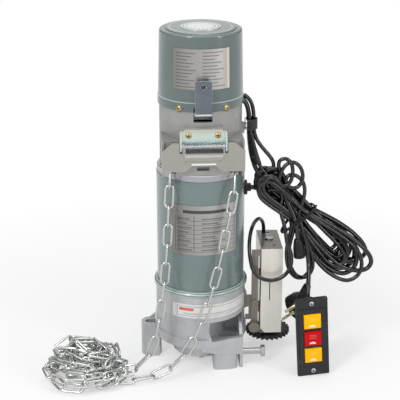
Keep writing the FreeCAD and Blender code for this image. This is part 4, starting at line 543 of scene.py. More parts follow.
def plates():
    """One finish for the foils on barrel, cap and gear case and for the badge, told apart by height."""
    f = Finish("printed_foil")
    x, y, z = f.parts()
    angle = compass(x, y)
    out = (x * x + y * y) ** 0.5

    def rules(low, pitch, share, left, right, ragged):
        """Ruled lines: the row number times 0.618, less its whole part, gives the share that stays bare."""
        row = (z - low) / pitch
        number = row.maths("FLOOR", row)
        bare = (number * 0.618).fract() * ragged
        return (row - number < share) * (angle + bare < right) * (angle > left)

    def upright(*lefts):
        return sum(f.band(angle, left, left + THIN) for left in lefts)

    metal = f.noise(700.0, 3.0, squash=(1, 1, 0.05))
    cloud = f.noise(22.0, 4.0)
    label = f.band(z, *CASE_LABEL)
    badge = z > BADGE_Z
    # Painted shade and sheen: the foil darkens round towards the left and lightens towards the right.
    base = f.mix(f.ramp(angle, -42.0, 12.0), "7C7875", "B1AFAE")
    base = f.mix(cloud * 0.4, base, "A29D97")
    base = f.mix(label, base, "DEDEDC")
    base = f.mix(badge, base, "E6E8E6")
    table = f.band(z, *TABLE)
    rows = rules(TABLE[0], TABLE_ROW, 0.11, -37.0, 45.0, 0.0) * table
    columns = upright(-12.0, -37.2, 44.4) * table
    words = (rules(WORDS_LOW, TABLE_ROW, 0.34, -34.0, -14.0, 9.0)
             + rules(WORDS_LOW, TABLE_ROW, 0.34, -2.0, 36.0, 24.0)) * table
    heading = f.band(z, *HEADING) * f.band(angle, -26.0, 36.0)
    cap_left = rules(CAP_LEFT[0], CAP_ROW, 0.32, -38.0, -8.0, 14.0) * f.band(z, *CAP_LEFT)
    cap_right = rules(CAP_RIGHT[0], CAP_ROW, 0.32, -1.0, 30.0, 15.0) * f.band(z, *CAP_RIGHT)
    # A cream strip at the cap plate's right edge: painted reflection.
    plate_edge_reflection = f.band(z, *CAP_PLATE) * f.band(angle, 33.5, 37.0)
    outlined = (f.band(angle, -34.0, 64.0) * (f.band(z, *BOX_FOOT) + f.band(z, *BOX_HEAD))
                + upright(-34.0, 63.2) * f.band(z, BOX_FOOT[0], BOX_HEAD[1]))
    bar = f.band(angle, -31.0, -12.0) * f.band(z, *RED_BAR)
    label_rule = f.band(angle, -25.0, 60.0) * f.band(z, *BOX_RULE)
    dashes = (angle / DASH_PITCH).fract() < 0.62
    rings = (f.band(out, *WIDE_RING) + f.band(out, *DASHED_RING) * dashes) * badge
    ink = rows + columns + rings + outlined * 0.8 + label_rule * 0.55
    tone = f.mix(ink * 0.75, base, "4A4E50")
    tone = f.mix((words + cap_left + cap_right) * 0.55, tone, "3C3F42")
    tone = f.mix(heading * 0.85, tone, "2E3234")
    tone = f.mix(plate_edge_reflection * 0.8, tone, "D9CFB4")
    tone = f.mix(bar * 0.9, tone, "D2503A")
    return f.finish({
        "Base Color": tone, "Metallic": 0.8 - 0.75 * label, "Roughness": 0.24 + 0.15 * cloud + 0.1 * metal,
        "Normal": f.bump(metal + 0.3 * ink, 0.00004, 0.5),
    })


PLATES = plates()
print("materials in all", len(bpy.data.materials))

# %% [markdown]
# CAD nodes keep their own meshes and only get a finish. One table says which.

# %% A finish for every CAD node
FINISHES = (
    (PAINT, "lower_end_shield motor_barrel"),
    (CAP_PAINT, "end_cap"),
    (SHIELD, "upper_end_shield"),
    (CAST_ARM, "gearbox_housing"),
    (CAST, "chain_wheel_housing brake_magnet"),
    (STEEL, "tension_bolt ring_gear planet_gear_1 planet_gear_2 planet_gear_3 planet_carrier bearings"),
    (STEEL, "rotor_shaft brake_pillars hinge_pins guide_spring limit_screw limit_guide_rod"),
    (DARK_STEEL, "output_sprocket hand_chain_wheel limit_wheel"),
    (LAMINATION, "stator_core rotor_core"),
    (COPPER, "stator_windings brake_coil"),
    (CHAIN, "hand_chain_strands hand_chain_inside hand_chain_pile"),
    (LEVER, "release_lever"),
    (ZINC, "brake_armature guide_bracket"),
    (GUIDE, "chain_guide"),
    (BRASS, "cover_screws"),
    (PLATES, "body_plates"),
    (CLIP, "cable_clip"),
    (SHEET_FRAME, "limit_frame limit_holder"),
    (COVER, "limit_cover"),
    (BROWN, "limit_nuts"),
    (WHITE, "capacitor terminal_block"),
    (BLACK, "brake_disc capacitor_clamp cable_grommet limit_switches station_contacts mains_plug cable_tie"),
    (STATION, "station_plate station_box"),
    (YELLOW, "up_button"),
    (RED, "stop_button"),
    (YELLOW_LOW, "down_button"),
    (CORD, "cord_hank mains_cord control_cord limit_cord motor_cable"),
)
for finish, names in FINISHES:
    for name in names.split():
        nodes[name].data.materials.clear()
        nodes[name].data.materials.append(finish)
print("finished nodes", sum(len(names.split()) for _, names in FINISHES), "of", len(nodes))

# %% [markdown]
# Castings and pressings have no knife edges. A copy of a node is merged and its flat faces are joined,
# and then a Bevel modifier rounds every sharp edge, which is what catches the light on the real thing.
# On some parts the rounding gets a lighter finish of its own: on the enamel a painted highlight, on cut
# steel and castings the bare edge together with a painted highlight.

# %% Rounded copies of the visible nodes
MERGE_WITHIN = 1e-6
FLAT_WITHIN = math.radians(0.6)
SHARP_FROM = math.radians(32.0)


def rounded(name, width, edge):
    """A copy of a CAD node with its sharp edges rounded. Edge is the finish of the rounding, lighter than the
    piece as a painted highlight, or None.
    """
    mesh = nodes[name].data.copy()
    work = bmesh.new()
    work.from_mesh(mesh)
    bmesh.ops.remove_doubles(work, verts=work.verts, dist=MERGE_WITHIN)
    bmesh.ops.dissolve_limit(work, angle_limit=FLAT_WITHIN, verts=work.verts, edges=work.edges)
    work.to_mesh(mesh)
    work.free()
    mesh.polygons.foreach_set("use_smooth", np.ones(len(mesh.polygons), dtype=bool))
    piece = linked(name + "_rounded", mesh)
    bevel = piece.modifiers.new("edges", "BEVEL")
    bevel.width = width
    bevel.segments = 2
    bevel.limit_method = "ANGLE"
    bevel.angle_limit = SHARP_FROM
    bevel.use_clamp_overlap = True
    if edge:
        mesh.materials.append(edge)
        bevel.material = 1
    weighted = piece.modifiers.new("normals", "WEIGHTED_NORMAL")
    weighted.keep_sharp = True
    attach(piece, BODY_OF[name])
    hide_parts(name)


ROUNDED = (
    ("gearbox_housing", 0.0009, CAST_RIM_HIGHLIGHT), ("chain_wheel_housing", 0.0008, CAST_RIM_HIGHLIGHT),
    ("chain_guide", 0.0009, BARE_EDGE_HIGHLIGHT), ("guide_bracket", 0.0006, BARE_EDGE_HIGHLIGHT),
    ("release_lever", 0.0006, BARE_EDGE_HIGHLIGHT), ("limit_cover", 0.0004, None), ("limit_frame", 0.0003, None),
    ("station_plate", 0.0006, None), ("station_box", 0.0012, None), ("up_button", 0.0004, None),
    ("stop_button", 0.0004, None), ("down_button", 0.0004, None), ("tension_bolt", 0.0004, None),
    ("cable_clip", 0.0003, None), ("cable_grommet", 0.0008, None), ("limit_holder", 0.0004, None),
    ("limit_nuts", 0.0005, None), ("end_cap", 0.0011, ENAMEL_RIM_HIGHLIGHT), ("upper_end_shield", 0.0006, CAST_RIM_HIGHLIGHT),
    ("lower_end_shield", 0.0010, ENAMEL_RIM_HIGHLIGHT), ("limit_wheel", 0.0003, None),
)
for name, width, edge in ROUNDED:
    rounded(name, width, edge)
print("rounded", len(ROUNDED))

# %% [markdown]
# The hand chain is one loop: over the wheel, down both sides and through the heap. Real links matter more
# than anything else here, so the joints are found one pitch apart along the same line as in the solids,
# and each link is the same oval of wire, turned a quarter against the last.

# %% The chain's route
PITCH = 24.4
PLAY = 0.5
WIRE = 2.9
LINK_WIDTH = 12.5
WHEEL_R = 39.0
WHEEL_Z = 283.0
WHEEL_STEPS = 36
LEFT_STRAND = [
    (-39, -38, 281), (-39, -46, 272), (-39.5, -51.5, 260), (-41, -54, 235), (-43, -57, 190), (-45, -60, 160),
    (-49, -63, 118), (-55, -67, 82), (-61, -70, 50), (-72, -71, 28), (-88, -71, 15), (-108, -70, 12),
]
RIGHT_STRAND = [
    (39, -38, 281), (39, -46, 272), (38.5, -52, 260), (36.5, -58, 240), (32, -62, 218), (27, -64, 194),
    (21, -65, 160), (12, -67.5, 125), (5, -68.5, 100), (-4, -69.5, 76), (-13, -71, 54), (-25, -73, 34),
    (-42, -74, 18), (-64, -77, 8.5), (-92, -84, 7.6), (-112, -86, 9),
]


def march(route, first):
    """Joints one pitch apart: each is where a circle of one pitch round the last joint cuts the route."""
    joints = [np.array(first, dtype=float)]
    leg = 0
    while leg < len(route) - 1:
        a = route[leg]
        step = route[leg + 1] - a
        gap = a - joints[-1]
        qa = step.dot(step)
        qb = 2 * gap.dot(step)
        qc = gap.dot(gap) - PITCH ** 2
        root = qb * qb - 4 * qa * qc
        t = (-qb + math.sqrt(root)) / (2 * qa) if root >= 0 else -1
        if 0 <= t <= 1 and qc <= 0:
            joints.append(a + step * t)
        else:
            leg += 1
    return np.array(joints)


turn = np.pi * np.arange(WHEEL_STEPS + 1) / WHEEL_STEPS
wheel_line = np.stack([WHEEL_R * np.cos(turn), WHEEL_R * np.sin(turn), np.full(len(turn), WHEEL_Z)], axis=1)
hanging = np.vstack([RIGHT_STRAND[::-1], wheel_line, LEFT_STRAND])
joints = march(hanging, hanging[0])
print("hanging joints", len(joints))

# %% [markdown]
# The heap is over two metres of slack chain, fallen anyhow. A tangle is a walk between places on a dome:
# each place is a random turn round the middle from the last one, and the walk climbs as the heap grew. A
# few links that strayed out to the front and the left are given one by one, as they lie in the photograph.
# The seed is one whose walk ends a pitch away from the first joint, so the loop closes.

# %% The heap
HEAP = np.array([-149.0, -64.0])
HEAP_HALF = np.array([70.0, 54.0])
HEAP_H = 51.0
LOWEST = 6.4
HEAP_PLACES = 200
HEAP_SEED = 20
HEAP_EXIT = (-128, -70, 34)
TURN_LEAST, TURN_MOST = 0.5, 2.3
TURNED_BACK = 0.35
HEIGHT_SPREAD = 0.07
STRAYS = [
    (-140, -62, 7), (-168, -40, 8), (-186, -22, 7), (-206, -27, 6.4), (-190, -44, 6.4), (-187, -80, 6.4),
    (-172, -99, 6.4), (-147, -99, 6.4), (-143, -72, 7),
]


def heap_line(start, end):
    """Places on a dome: angle = sum of random turns, radius = root of a random share, and height = the dome
    times the progress."""
    rng = np.random.default_rng(HEAP_SEED)
    t = np.linspace(0, 1, HEAP_PLACES)
    turn_by = rng.uniform(TURN_LEAST, TURN_MOST, HEAP_PLACES)
    angle = np.cumsum(turn_by * np.where(rng.random(HEAP_PLACES) < TURNED_BACK, -1, 1))
    spread = np.sqrt(rng.uniform(0.3, 1.0, HEAP_PLACES)) * (1 - 0.3 * t)
    dome = np.sqrt(1 - (0.95 * spread) ** 2)
    height = dome * (0.05 + 0.95 * t) + rng.normal(0, HEIGHT_SPREAD, HEAP_PLACES)
    z = LOWEST + (HEAP_H - LOWEST) * np.clip(height, 0, 1)
    walk = np.stack([HEAP[0] + HEAP_HALF[0] * spread * np.cos(angle),
                     HEAP[1] + HEAP_HALF[1] * spread * np.sin(angle), z], axis=1)
    return np.vstack([[start], STRAYS, walk, [HEAP_EXIT], [end]])


heap_joints = march(heap_line(joints[-1], joints[0]), joints[-1])
last_gap = np.linalg.norm(heap_joints[-1] - joints[0])
print("heap joints", len(heap_joints), "closing gap %.1f mm" % last_gap)

# %% [markdown]
# A link is a ring of wire: two straight sides and two half circles, swept by a round section. The whole
# chain is one mesh, made for all links at once by adding a link axis to the arrays.

# %% Links
AROUND = 16
WIRE_SIDES = 8
TILT_SEED = 7
TILT_SPREAD = 0.7
WHEEL_COVER_Y = -38.0


def link_frames(points, tilt):
    """Along, across and normal of each link. The across vector is carried from link to link, then turned."""
    along = unit(np.diff(points, axis=0))
    middle = int(np.argmax(points[:-1, 1]))
    across = np.zeros_like(along)
    for order in (range(middle, len(along)), range(middle, -1, -1)):
        guide = np.array([0.0, 0.0, 1.0])
        for k in order:
            guide = unit(guide - along[k] * guide.dot(along[k]))
            across[k] = guide
    normal = np.cross(along, across)
    quarter = (np.arange(len(along)) - middle) % 2 * (np.pi / 2) + tilt
    across = across * np.cos(quarter)[:, None] + normal * np.sin(quarter)[:, None]
    return along, across, np.cross(along, across)


def links(points, tilt):
    """Every link at once: oval centre line plus a circle of wire in the plane of outwards and normal."""
    along, wide, normal = (v[:, None, :] for v in link_frames(points, tilt))
    wire = WIRE / 2
    end_r = LINK_WIDTH / 2 - wire
    straight = (PITCH + PLAY) / 2 + wire - end_r
    k = np.arange(AROUND)
    half = AROUND // 2
    front = k < half
    theta = np.pi * np.where(front, k / (half - 1), (k - half) / (half - 1) + 1) - np.pi / 2
    c, s = np.cos(theta)[None, :, None], np.sin(theta)[None, :, None]
    middle = ((points[:-1] + points[1:]) / 2)[:, None, :]
    reach = np.where(front, straight, -straight)[None, :, None] + end_r * c
    centre = middle + reach * along + end_r * s * wide
    outwards = c * along + s * wide
    phi = circle(WIRE_SIDES)[None, None, :, None]
    ring = (np.cos(phi) * outwards[:, :, None, :] + np.sin(phi) * normal[:, :, None, :]) * wire
    return centre[:, :, None, :] + ring


inside = np.flatnonzero(joints[:, 1] > WHEEL_COVER_Y)
right_end = inside[0]
left_start = inside[-1] + 1
loop = np.vstack([joints, heap_joints[1:], joints[:1]])
tilt = np.zeros(len(loop) - 1)
tilt[len(joints) - 1:] = np.random.default_rng(TILT_SEED).normal(0.0, TILT_SPREAD, len(loop) - len(joints))
free = np.ones(len(loop) - 1, dtype=bool)
free[right_end:left_start] = False
rings = links(loop, tilt)[free]
link_starts = np.arange(len(rings)) * AROUND * WIRE_SIDES
link_faces = (grid_faces(AROUND, WIRE_SIDES, True, True)[None] + link_starts[:, None, None]).reshape(-1, 4)
chain = mesh_piece("hand_chain_links", rings, link_faces, CHAIN,
                   ("hand_chain_strands", "hand_chain_pile"))

# %% [markdown]
# The cords are the photograph's busiest part. Each is one smooth spline: out of the notch under the cap,
# through the clip, round the hank a few times and on to its own end. The turns of the hank are drawn from
# a few shapes seen in the picture, and each turn is shrunk and slid a little, so that no two lie on one
# another.

# %% Turns of the hank
TIE = np.array([119.0, 189.0])
HANK_Y = -4.0
WAIST = 55.0
WAIST_DEPTH = 0.62
LONG_TURN = [
    (106, 224), (128, 202), (157, 186), (184, 170), (206, 152), (219, 134), (214, 121), (199, 118),
    (176, 126), (150, 153), (126, 183), (102, 204), (83, 218), (72, 229), (69.5, 241), (77, 250), (89, 248),
    (98, 237),
]
LOW_TURN = [
    (109, 221), (130, 199), (158, 181), (180, 166), (196, 150), (202, 133), (199, 117), (186, 108),
    (171, 112), (151, 127), (134, 151), (122, 179), (101, 199), (82, 213), (70, 224), (67.5, 236), (75, 245),
    (87, 243), (97, 233),
]
SHORT_TURN = [
    (112, 226), (133, 202), (154, 180), (171, 163), (183, 148), (184, 135), (174, 128), (162, 134),
    (150, 150), (137, 168), (123, 188), (100, 210), (82, 226), (75, 237), (77, 249), (88, 254), (98, 247),
]
DOWN_TURN = [
    (108, 206), (118, 183), (111, 158), (110, 140), (113, 124), (121, 112), (132, 110), (140, 119),
    (141, 132), (137, 150), (126, 175), (110, 198), (93, 211), (80, 222), (75, 233), (80, 243), (91, 244),
    (99, 234),
]
SMALL_LOOPS = [
    (90, 251), (90, 240), (95, 231), (104, 231), (107, 240), (101, 251), (95, 261), (96.5, 270.5), (105, 273),
    (112, 265), (113.5, 253), (111, 241), (103, 235), (96, 240), (97.5, 252), (103, 263), (112, 268),
    (121, 263), (126, 253), (126, 241), (119, 232), (109, 233), (104, 242), (108.5, 250.5), (118, 249),
    (127, 241), (130, 228), (127.6, 214),
]


def hank_turn(shape, depth, shrink=0.0, slide=(0, 0)):
    """One turn in X and Z, shrunk towards the tie, with its depth in Y squeezed near the tie."""
    flat = TIE + (np.array(shape, dtype=float) - TIE) * (1 - shrink) + np.array(slide, dtype=float)
    far = np.clip(np.linalg.norm(flat - TIE, axis=1) / WAIST, 0, 1)
    y = HANK_Y + depth * (WAIST_DEPTH + (1 - WAIST_DEPTH) * far)
    return [(x, v, z) for (x, z), v in zip(flat, y)]


def wound(*turns):
    """Several turns one after the other."""
    return [place for turn in turns for place in hank_turn(*turn)]


# %% [markdown]
# A cord is a curve with a round bevel. Its control points repeat the solids' route where it hangs free,
# and the turns and loops between them follow the photograph.

# %% Routes of the cords
MAINS_R = 3.0
CONTROL_R = 2.6
LIMIT_R = 2.5
LOOPS_Y = -5
LOOPS_SINK, SINK_PLACES = 14, 8
LOOPS_STEP = 0.25
MAINS_LEAD = [
    (47.5, 3.15, 346.5), (53.5, 3.15, 342.5), (58, 3.15, 333.5), (59.7, 3, 321), (59.8, 2.9, 306),
    (60.8, 2.5, 288), (64, 0.5, 268), (71, -2.5, 247.5),
]
CONTROL_LEAD = [
    (47.5, -3.15, 346.5), (53.5, -3.15, 342.5), (58, -3.15, 333.5), (60, -3.2, 321), (60.6, -3.2, 306),
    (64.2, -3.6, 288), (69.6, -5, 270), (76, -7, 252.5),
]
LIMIT_LEAD = [
    (53, 0, 349.5), (58.9, 0, 345.5), (63.4, 0, 336.5), (65.4, 0, 324), (65.2, 0, 305), (69, 0, 292),
    (77, -1, 281), (87, -3, 270), (91, -4, 262),
]
LIMIT_LOOP = [
    (107, -25, 163), (111.5, -25, 154), (113.9, -25, 143.4), (113.4, -25.2, 132.6), (109, -25.4, 122.7),
    (101, -25.4, 115.5), (90.7, -25.4, 112.1), (80, -25.4, 113.3), (70.6, -25, 118.7), (64.2, -23.5, 127.4),
    (62, -21, 138), (60.8, -16.5, 148), (61.2, -9, 159), (64, 2, 169.5), (69.5, 14, 176.5), (76, 26, 177.5),
    (82, 35, 171.5), (85, 39.5, 161), (85, 40, 150),
]
MAINS_END = [
    (112, -4, 215), (124, -8, 185), (132, -12, 160), (136.5, -15.5, 136), (137.3, -17.4, 120),
    (137.3, -17.4, 109), (136.75, -15.9, 101), (135.7, -10.65, 92.7),
]
CONTROL_END = [
    (112, -8, 213), (124, -14, 190), (131.5, -18, 165), (135, -21, 144), (136, -23.5, 133), (135, -31, 125.5),
    (133.6, -41.5, 119), (132.4, -49.5, 110.5), (131.6, -53.2, 102), (131.3, -53.6, 93.9),
]
LIMIT_MIDDLE = [(98, -13, 205), (104, -19, 186), (106, -23, 173)]
MOTOR_LEAD = [(60, 0, 230), (64, 0, 230), (69, 0, 228.9), (76, 0, 226), (88, -4, 216)]
MOTOR_END = [(104, -10, 220), (116, -18, 198), (120.5, -20, 179), (121.5, -20, 164)]
mains_turns = wound((LONG_TURN, -12), (LOW_TURN, -9, 0.05, (2, 1)), (LONG_TURN, 1, 0.13, (-2, -2)),
                    (LOW_TURN, 8, 0.02, (0, 3)), (SHORT_TURN, -2, 0.02, (3, 4)))
control_turns = wound((LOW_TURN, -14, -0.01, (3, -2)), (SHORT_TURN, -12, 0.0, (-1, -3)),
                      (LONG_TURN, 6, 0.07, (3, 3)), (LOW_TURN, 2, 0.12, (-3, 2)),
                      (LONG_TURN, 13, 0.02, (-1, 4)), (SHORT_TURN, 5, 0.08, (5, -1)),
                      (LOW_TURN, 14, 0.1, (2, 5)), (DOWN_TURN, -12, 0.0, (-2, 0)))
small_loops = [(x, LOOPS_Y - LOOPS_SINK * min(k, SINK_PLACES) / SINK_PLACES + LOOPS_STEP * k, z)
               for k, (x, z) in enumerate(SMALL_LOOPS)]
limit_turns = small_loops + wound((DOWN_TURN, -14, -0.02, (1, 3)))[2:] + wound(
    (SHORT_TURN, 9, 0.16, (1, 2)), (LOW_TURN, -5, 0.2, (2, -4)))
motor_turns = hank_turn(SHORT_TURN, 12, 0.05, (0, 2))[1:]
print("points", [len(turns) for turns in (mains_turns, control_turns, limit_turns, motor_turns)])

# %% [markdown]
# A moulded boot joins two of the cords in the middle of the hank. It is a tapered sleeve, turned round
# its own axis and laid along the cord.

# %% Connector boot
BOOT_PROFILE = [(3.1, 0), (4.6, 0.6), (5.6, 4), (7.0, 12), (7.4, 20), (7.4, 24), (6.8, 25.4), (6.6, 25.5)]
BOOT_PLACE = (121.3, -20, 167)
BOOT_WAY = (0.12, -0.05, -1)


def aim(place, direction, up=(0, 1, 0)):
    """A matrix whose +Z points along a direction, placed at a point in millimetres."""
    z = unit(np.array(direction, dtype=float))
    x = unit(np.cross(up, z))
    m = np.eye(4)
    m[:3, 0], m[:3, 1], m[:3, 2], m[:3, 3] = x, np.cross(z, x), z, place
    return m


boot_points = moved(turned(BOOT_PROFILE, 32), aim(BOOT_PLACE, BOOT_WAY))
boot = tube_piece("connector_boot", boot_points, BLACK)
print("boot", len(boot.data.vertices))

# %% [markdown]
# The plug's body is round with a flat face, and its long ribbed strain relief leaves sideways. Both are
# profiles turned about an axis; the pins and earth springs stay as small turned and bent pieces.

# %% Plug
PLUG = (Matrix.Translation((123.5, 5.0, 57.0)) @ Matrix.Rotation(math.radians(35.0), 4, "Z")
        @ Matrix.Rotation(math.radians(-14.6), 4, "Y") @ Matrix.Rotation(math.radians(30.0), 4, "X"))
ALONG_X = Matrix.Rotation(math.radians(90.0), 4, "Y")
RELIEF_LENGTH = 30
RELIEF_RADII = (8.0, 5.1)
RELIEF_X, RELIEF_START = 9.9, 15.5
RIB_PITCH = 4.0
RIB_DEPTH = 0.9
PIN_HALF_GAP = 9.5
EARTH_HALF_GAP = 18.2
EARTH_THICK = 0.0007
EARTH_ROWS = ((-0.6, 0.93, 2.6), (1, 1, 2.8), (9, 1, 2.8), (12, 0.98, 2.4))
SHELL_PROFILE = [(3, 0.6), (14.6, 0.6), (15.0, 0.0), (17.6, 0.0), (18.5, 1.0), (18.5, 12), (17.4, 15),
                 (14.2, 19.2), (11.5, 21.6), (6, 22)]
PIN_PROFILE = [(0.8, -19.0), (1.6, -18.6), (2.1, -17.2), (2.1, -1), (3.3, -0.6), (3.3, 0.8), (2.3, 4)]


def plug_piece(name, profile, local, material, steps):
    return tube_piece(name, moved(turned(profile, steps), PLUG @ local), material)


def earth_spring(name, y):
    """A bent strip: each row gives the place along the plug, the share of y, and half the strip's width."""
    rows = np.array([[(x, y * share, -half), (x, y * share, half)] for x, share, half in EARTH_ROWS])
    faces = grid_faces(len(EARTH_ROWS), 2, False, False)
    piece = mesh_piece(name, moved(rows.reshape(-1, 3), PLUG), faces, BRASS)
    piece.modifiers.new("sheet", "SOLIDIFY").thickness = EARTH_THICK
    return piece


rib_z = np.linspace(0, RELIEF_LENGTH, 90)
ribs = RIB_DEPTH * (np.sin(rib_z * 2 * np.pi / RIB_PITCH) > 0.2) * (rib_z > RIB_PITCH)
relief_r = np.interp(rib_z, [0, RELIEF_LENGTH], RELIEF_RADII) - ribs
relief_profile = np.column_stack([relief_r, rib_z + RELIEF_START])
plug_shell = plug_piece("plug_shell", SHELL_PROFILE, ALONG_X, BLACK, 40)
plug_relief = plug_piece("plug_relief", relief_profile, Matrix.Translation((RELIEF_X, 0, 0)), BLACK, 24)
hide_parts("mains_plug")
pin_places = [Matrix.Translation((0, 0, z)) @ ALONG_X for z in (-PIN_HALF_GAP, PIN_HALF_GAP)]
plug_pins = [plug_piece("plug_pin_%d" % k, PIN_PROFILE, local, PIN_METAL, 20)
             for k, local in enumerate(pin_places)]
earth = [earth_spring("plug_earth_%d" % k, y) for k, y in enumerate((-EARTH_HALF_GAP, EARTH_HALF_GAP))]
print("plug pieces", 2 + len(plug_pins) + len(earth))

# %% [markdown]
# Now the cords are made, each a curve along its route with its own thickness. The centre line is read
# back from the spline, because the sleeve and the tie are fitted to it.

# %% The cords
runs = []


def cord_curve(name, route, radius, replaces, **facts):
    """A NURBS curve of order three through a route in millimetres, with a round section."""
    curve = bpy.data.curves.new(name, "CURVE")
    curve.dimensions = "3D"
    curve.bevel_depth = radius * MM
    curve.bevel_resolution = 3
    curve.resolution_u = 5
    curve.use_fill_caps = True
    spline = curve.splines.new("NURBS")
    spline.points.add(len(route) - 1)
    flat = np.ones((len(route), 4))
    flat[:, :3] = np.array(route, dtype=float) * MM
    spline.points.foreach_set("co", flat.ravel())
    spline.order_u = 3
    spline.use_endpoint_u = True
    curve.materials.append(CORD)
    piece = linked(name, curve)
    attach(piece, STILL)
    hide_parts(*replaces)
    bare = piece.copy()
    bare.data = curve.copy()
    bare.data.bevel_depth = 0.0
    line = bpy.data.meshes.new_from_object(bare)
    bpy.data.objects.remove(bare)
    places = np.empty(len(line.vertices) * 3)
    line.vertices.foreach_get("co", places)
    places = places.reshape(-1, 3)
    runs.append(places / MM)


cord_curve("mains_cord_line", MAINS_LEAD + mains_turns + MAINS_END, MAINS_R, ("mains_cord", "cord_hank"),
           far_end="plug", with_pieces=[plug_shell, plug_relief] + plug_pins + earth)
cord_curve("control_cord_line", CONTROL_LEAD + control_turns + CONTROL_END, CONTROL_R, ("control_cord",),
           far_end="object")
cord_curve("limit_cord_line", LIMIT_LEAD + limit_turns + LIMIT_MIDDLE + LIMIT_LOOP, LIMIT_R, ("limit_cord",),
           far_end="object")
cord_curve("motor_cable_line", MOTOR_LEAD + motor_turns + MOTOR_END, MAINS_R, ("motor_cable",),
           far_end="connector", with_pieces=[boot])

# %% [markdown]
# Below the clip the two thicker cords share a shrunk sleeve. Its section is an ellipse round both of
# them.

# %% Sleeve
SLEEVE_TOP_Z, SLEEVE_LOW_Z = 303.0, 262.0
SLEEVE_ROOM = 0.7
SLEEVE_ROWS, SLEEVE_SIDES = 24, 20
LIP_TIGHTER, LIP_FROM = 0.12, 0.97
FIRST_PLACES = 60


def shared_sleeve(first, second):
    """Centre = middle of the cords at one height; half widths = half their distance plus radius, and radius.
    Close is 1, and less at the two lips."""
    z = np.linspace(SLEEVE_TOP_Z, SLEEVE_LOW_Z, SLEEVE_ROWS)
    a, b = (np.stack([np.interp(-z, -line[:, 2], line[:, k]) for k in (0, 1)] + [z], axis=1)
            for line in (first[:FIRST_PLACES], second[:FIRST_PLACES]))
    centre = (a + b) / 2
    half = np.linalg.norm(a - b, axis=1, keepdims=True) / 2
    wide = (a - b) / (2 * half)
    thick = unit(np.cross(np.gradient(centre, axis=0), wide))
    turn = circle(SLEEVE_SIDES)[None, :, None]
    close = 1 - LIP_TIGHTER * (np.abs(np.linspace(-1, 1, SLEEVE_ROWS)) > LIP_FROM)[:, None, None]
    radius = MAINS_R + SLEEVE_ROOM
    across = (half[:, :, None] + radius) * close
    ring = across * np.cos(turn) * wide[:, None] + radius * close * np.sin(turn) * thick[:, None]
    return centre[:, None] + ring


sleeve_points = shared_sleeve(runs[0], runs[1])
tube_piece("cord_sleeve", sleeve_points, CORD)
print("sleeve width %.1f mm" % np.ptp(sleeve_points[SLEEVE_ROWS // 2, :, 1]))

# %% [markdown]
# A wire tie holds the hank at its waist. It touches the outermost cord on every side, which is what a
# support function gives: in each direction, how far the cords reach. The ring is the envelope of the
# lines at that reach. Two wires go round side by side, and their ends are twisted together.

# %% Tie
TIE_A = np.array([99.0, -4.0, 177.0])
TIE_B = np.array([140.0, -4.0, 201.0])
TIE_REACH = 30.0
TIE_SLICE = 5.0
TIE_ROOM = 3.9
TIE_POINTS = 96
TIE_ROUNDS = 6
TIE_WIRE_R = 1.0
TWIST_TURNS = 1.5
TWIST_R = 1.3
TWIST_WIRE_R = 0.9
TWIST_LEAN, TWIST_RISE, TWIST_SUNK = 1.5, 8.0, 3
middle = (TIE_A + TIE_B) / 2
over = unit(TIE_B - TIE_A)
down = np.array([over[2], 0.0, -over[0]])


def tie_ring():
    """Reach h(t) = the largest of q . u(t) over the cords, plus room; the ring is h u + h' u'."""
    near = np.vstack(runs) - middle
    near = near[(np.abs(near @ down) < TIE_SLICE) & (np.abs(near @ over) < TIE_REACH)]
    flat = np.stack([near @ over, near[:, 1]], axis=1)
    t = circle(TIE_POINTS)
    u = np.stack([np.cos(t), np.sin(t)], axis=1)
    reach = (flat @ u.T).max(axis=0) + TIE_ROOM
    for _ in range(TIE_ROUNDS):
        reach = (np.roll(reach, 1) + 2 * reach + np.roll(reach, -1)) / 4
    slope = (np.roll(reach, -1) - np.roll(reach, 1)) / (4 * np.pi / TIE_POINTS)
    ring = reach[:, None] * u + slope[:, None] * np.stack([-np.sin(t), np.cos(t)], axis=1)
    return middle + ring[:, :1] * over + ring[:, 1:] * np.array([0.0, 1.0, 0.0])


def closed_tube(path, radius):
    """A round section carried round a closed path: the ends of the open tube are left out, then joined."""
    wrapped = np.vstack([path[-2:], path, path[:2]])
    return along_path(wrapped, radius, 8)[2:-2]


ring = tie_ring()
tie_wires = np.stack([closed_tube(ring + down * step, TIE_WIRE_R) for step in (-1.0, 1.0)])
one_wire = grid_faces(*tie_wires.shape[1:3], True, True)
both_wires = np.vstack([one_wire, one_wire + tie_wires[0, :, :, 0].size])
mesh_piece("cable_tie_wires", tie_wires, both_wires, BLACK, ("cable_tie",))
start = ring[np.argmax((ring - middle) @ over - 0.55 * ring[:, 1])]
s = np.linspace(0, 1, 61)
for k, phase in enumerate((0.0, np.pi)):
    wave = 2 * np.pi * TWIST_TURNS * s + phase
    line = start + np.stack([TWIST_R * np.cos(wave) + TWIST_LEAN * s, TWIST_R * np.sin(wave),
                             TWIST_RISE * s - TWIST_SUNK], axis=1)
    tube_piece("cable_tie_end_%d" % k, along_path(line, TWIST_WIRE_R, 6), BLACK)
print("tie reach %.0f by %.0f mm" % tuple(np.ptp(np.stack([ring @ over, ring[:, 1]], axis=1), axis=0)))

# %% [markdown]
# The return spring on the guide's pin is wound from round wire. A helix is a circle that moves along its
# axis.

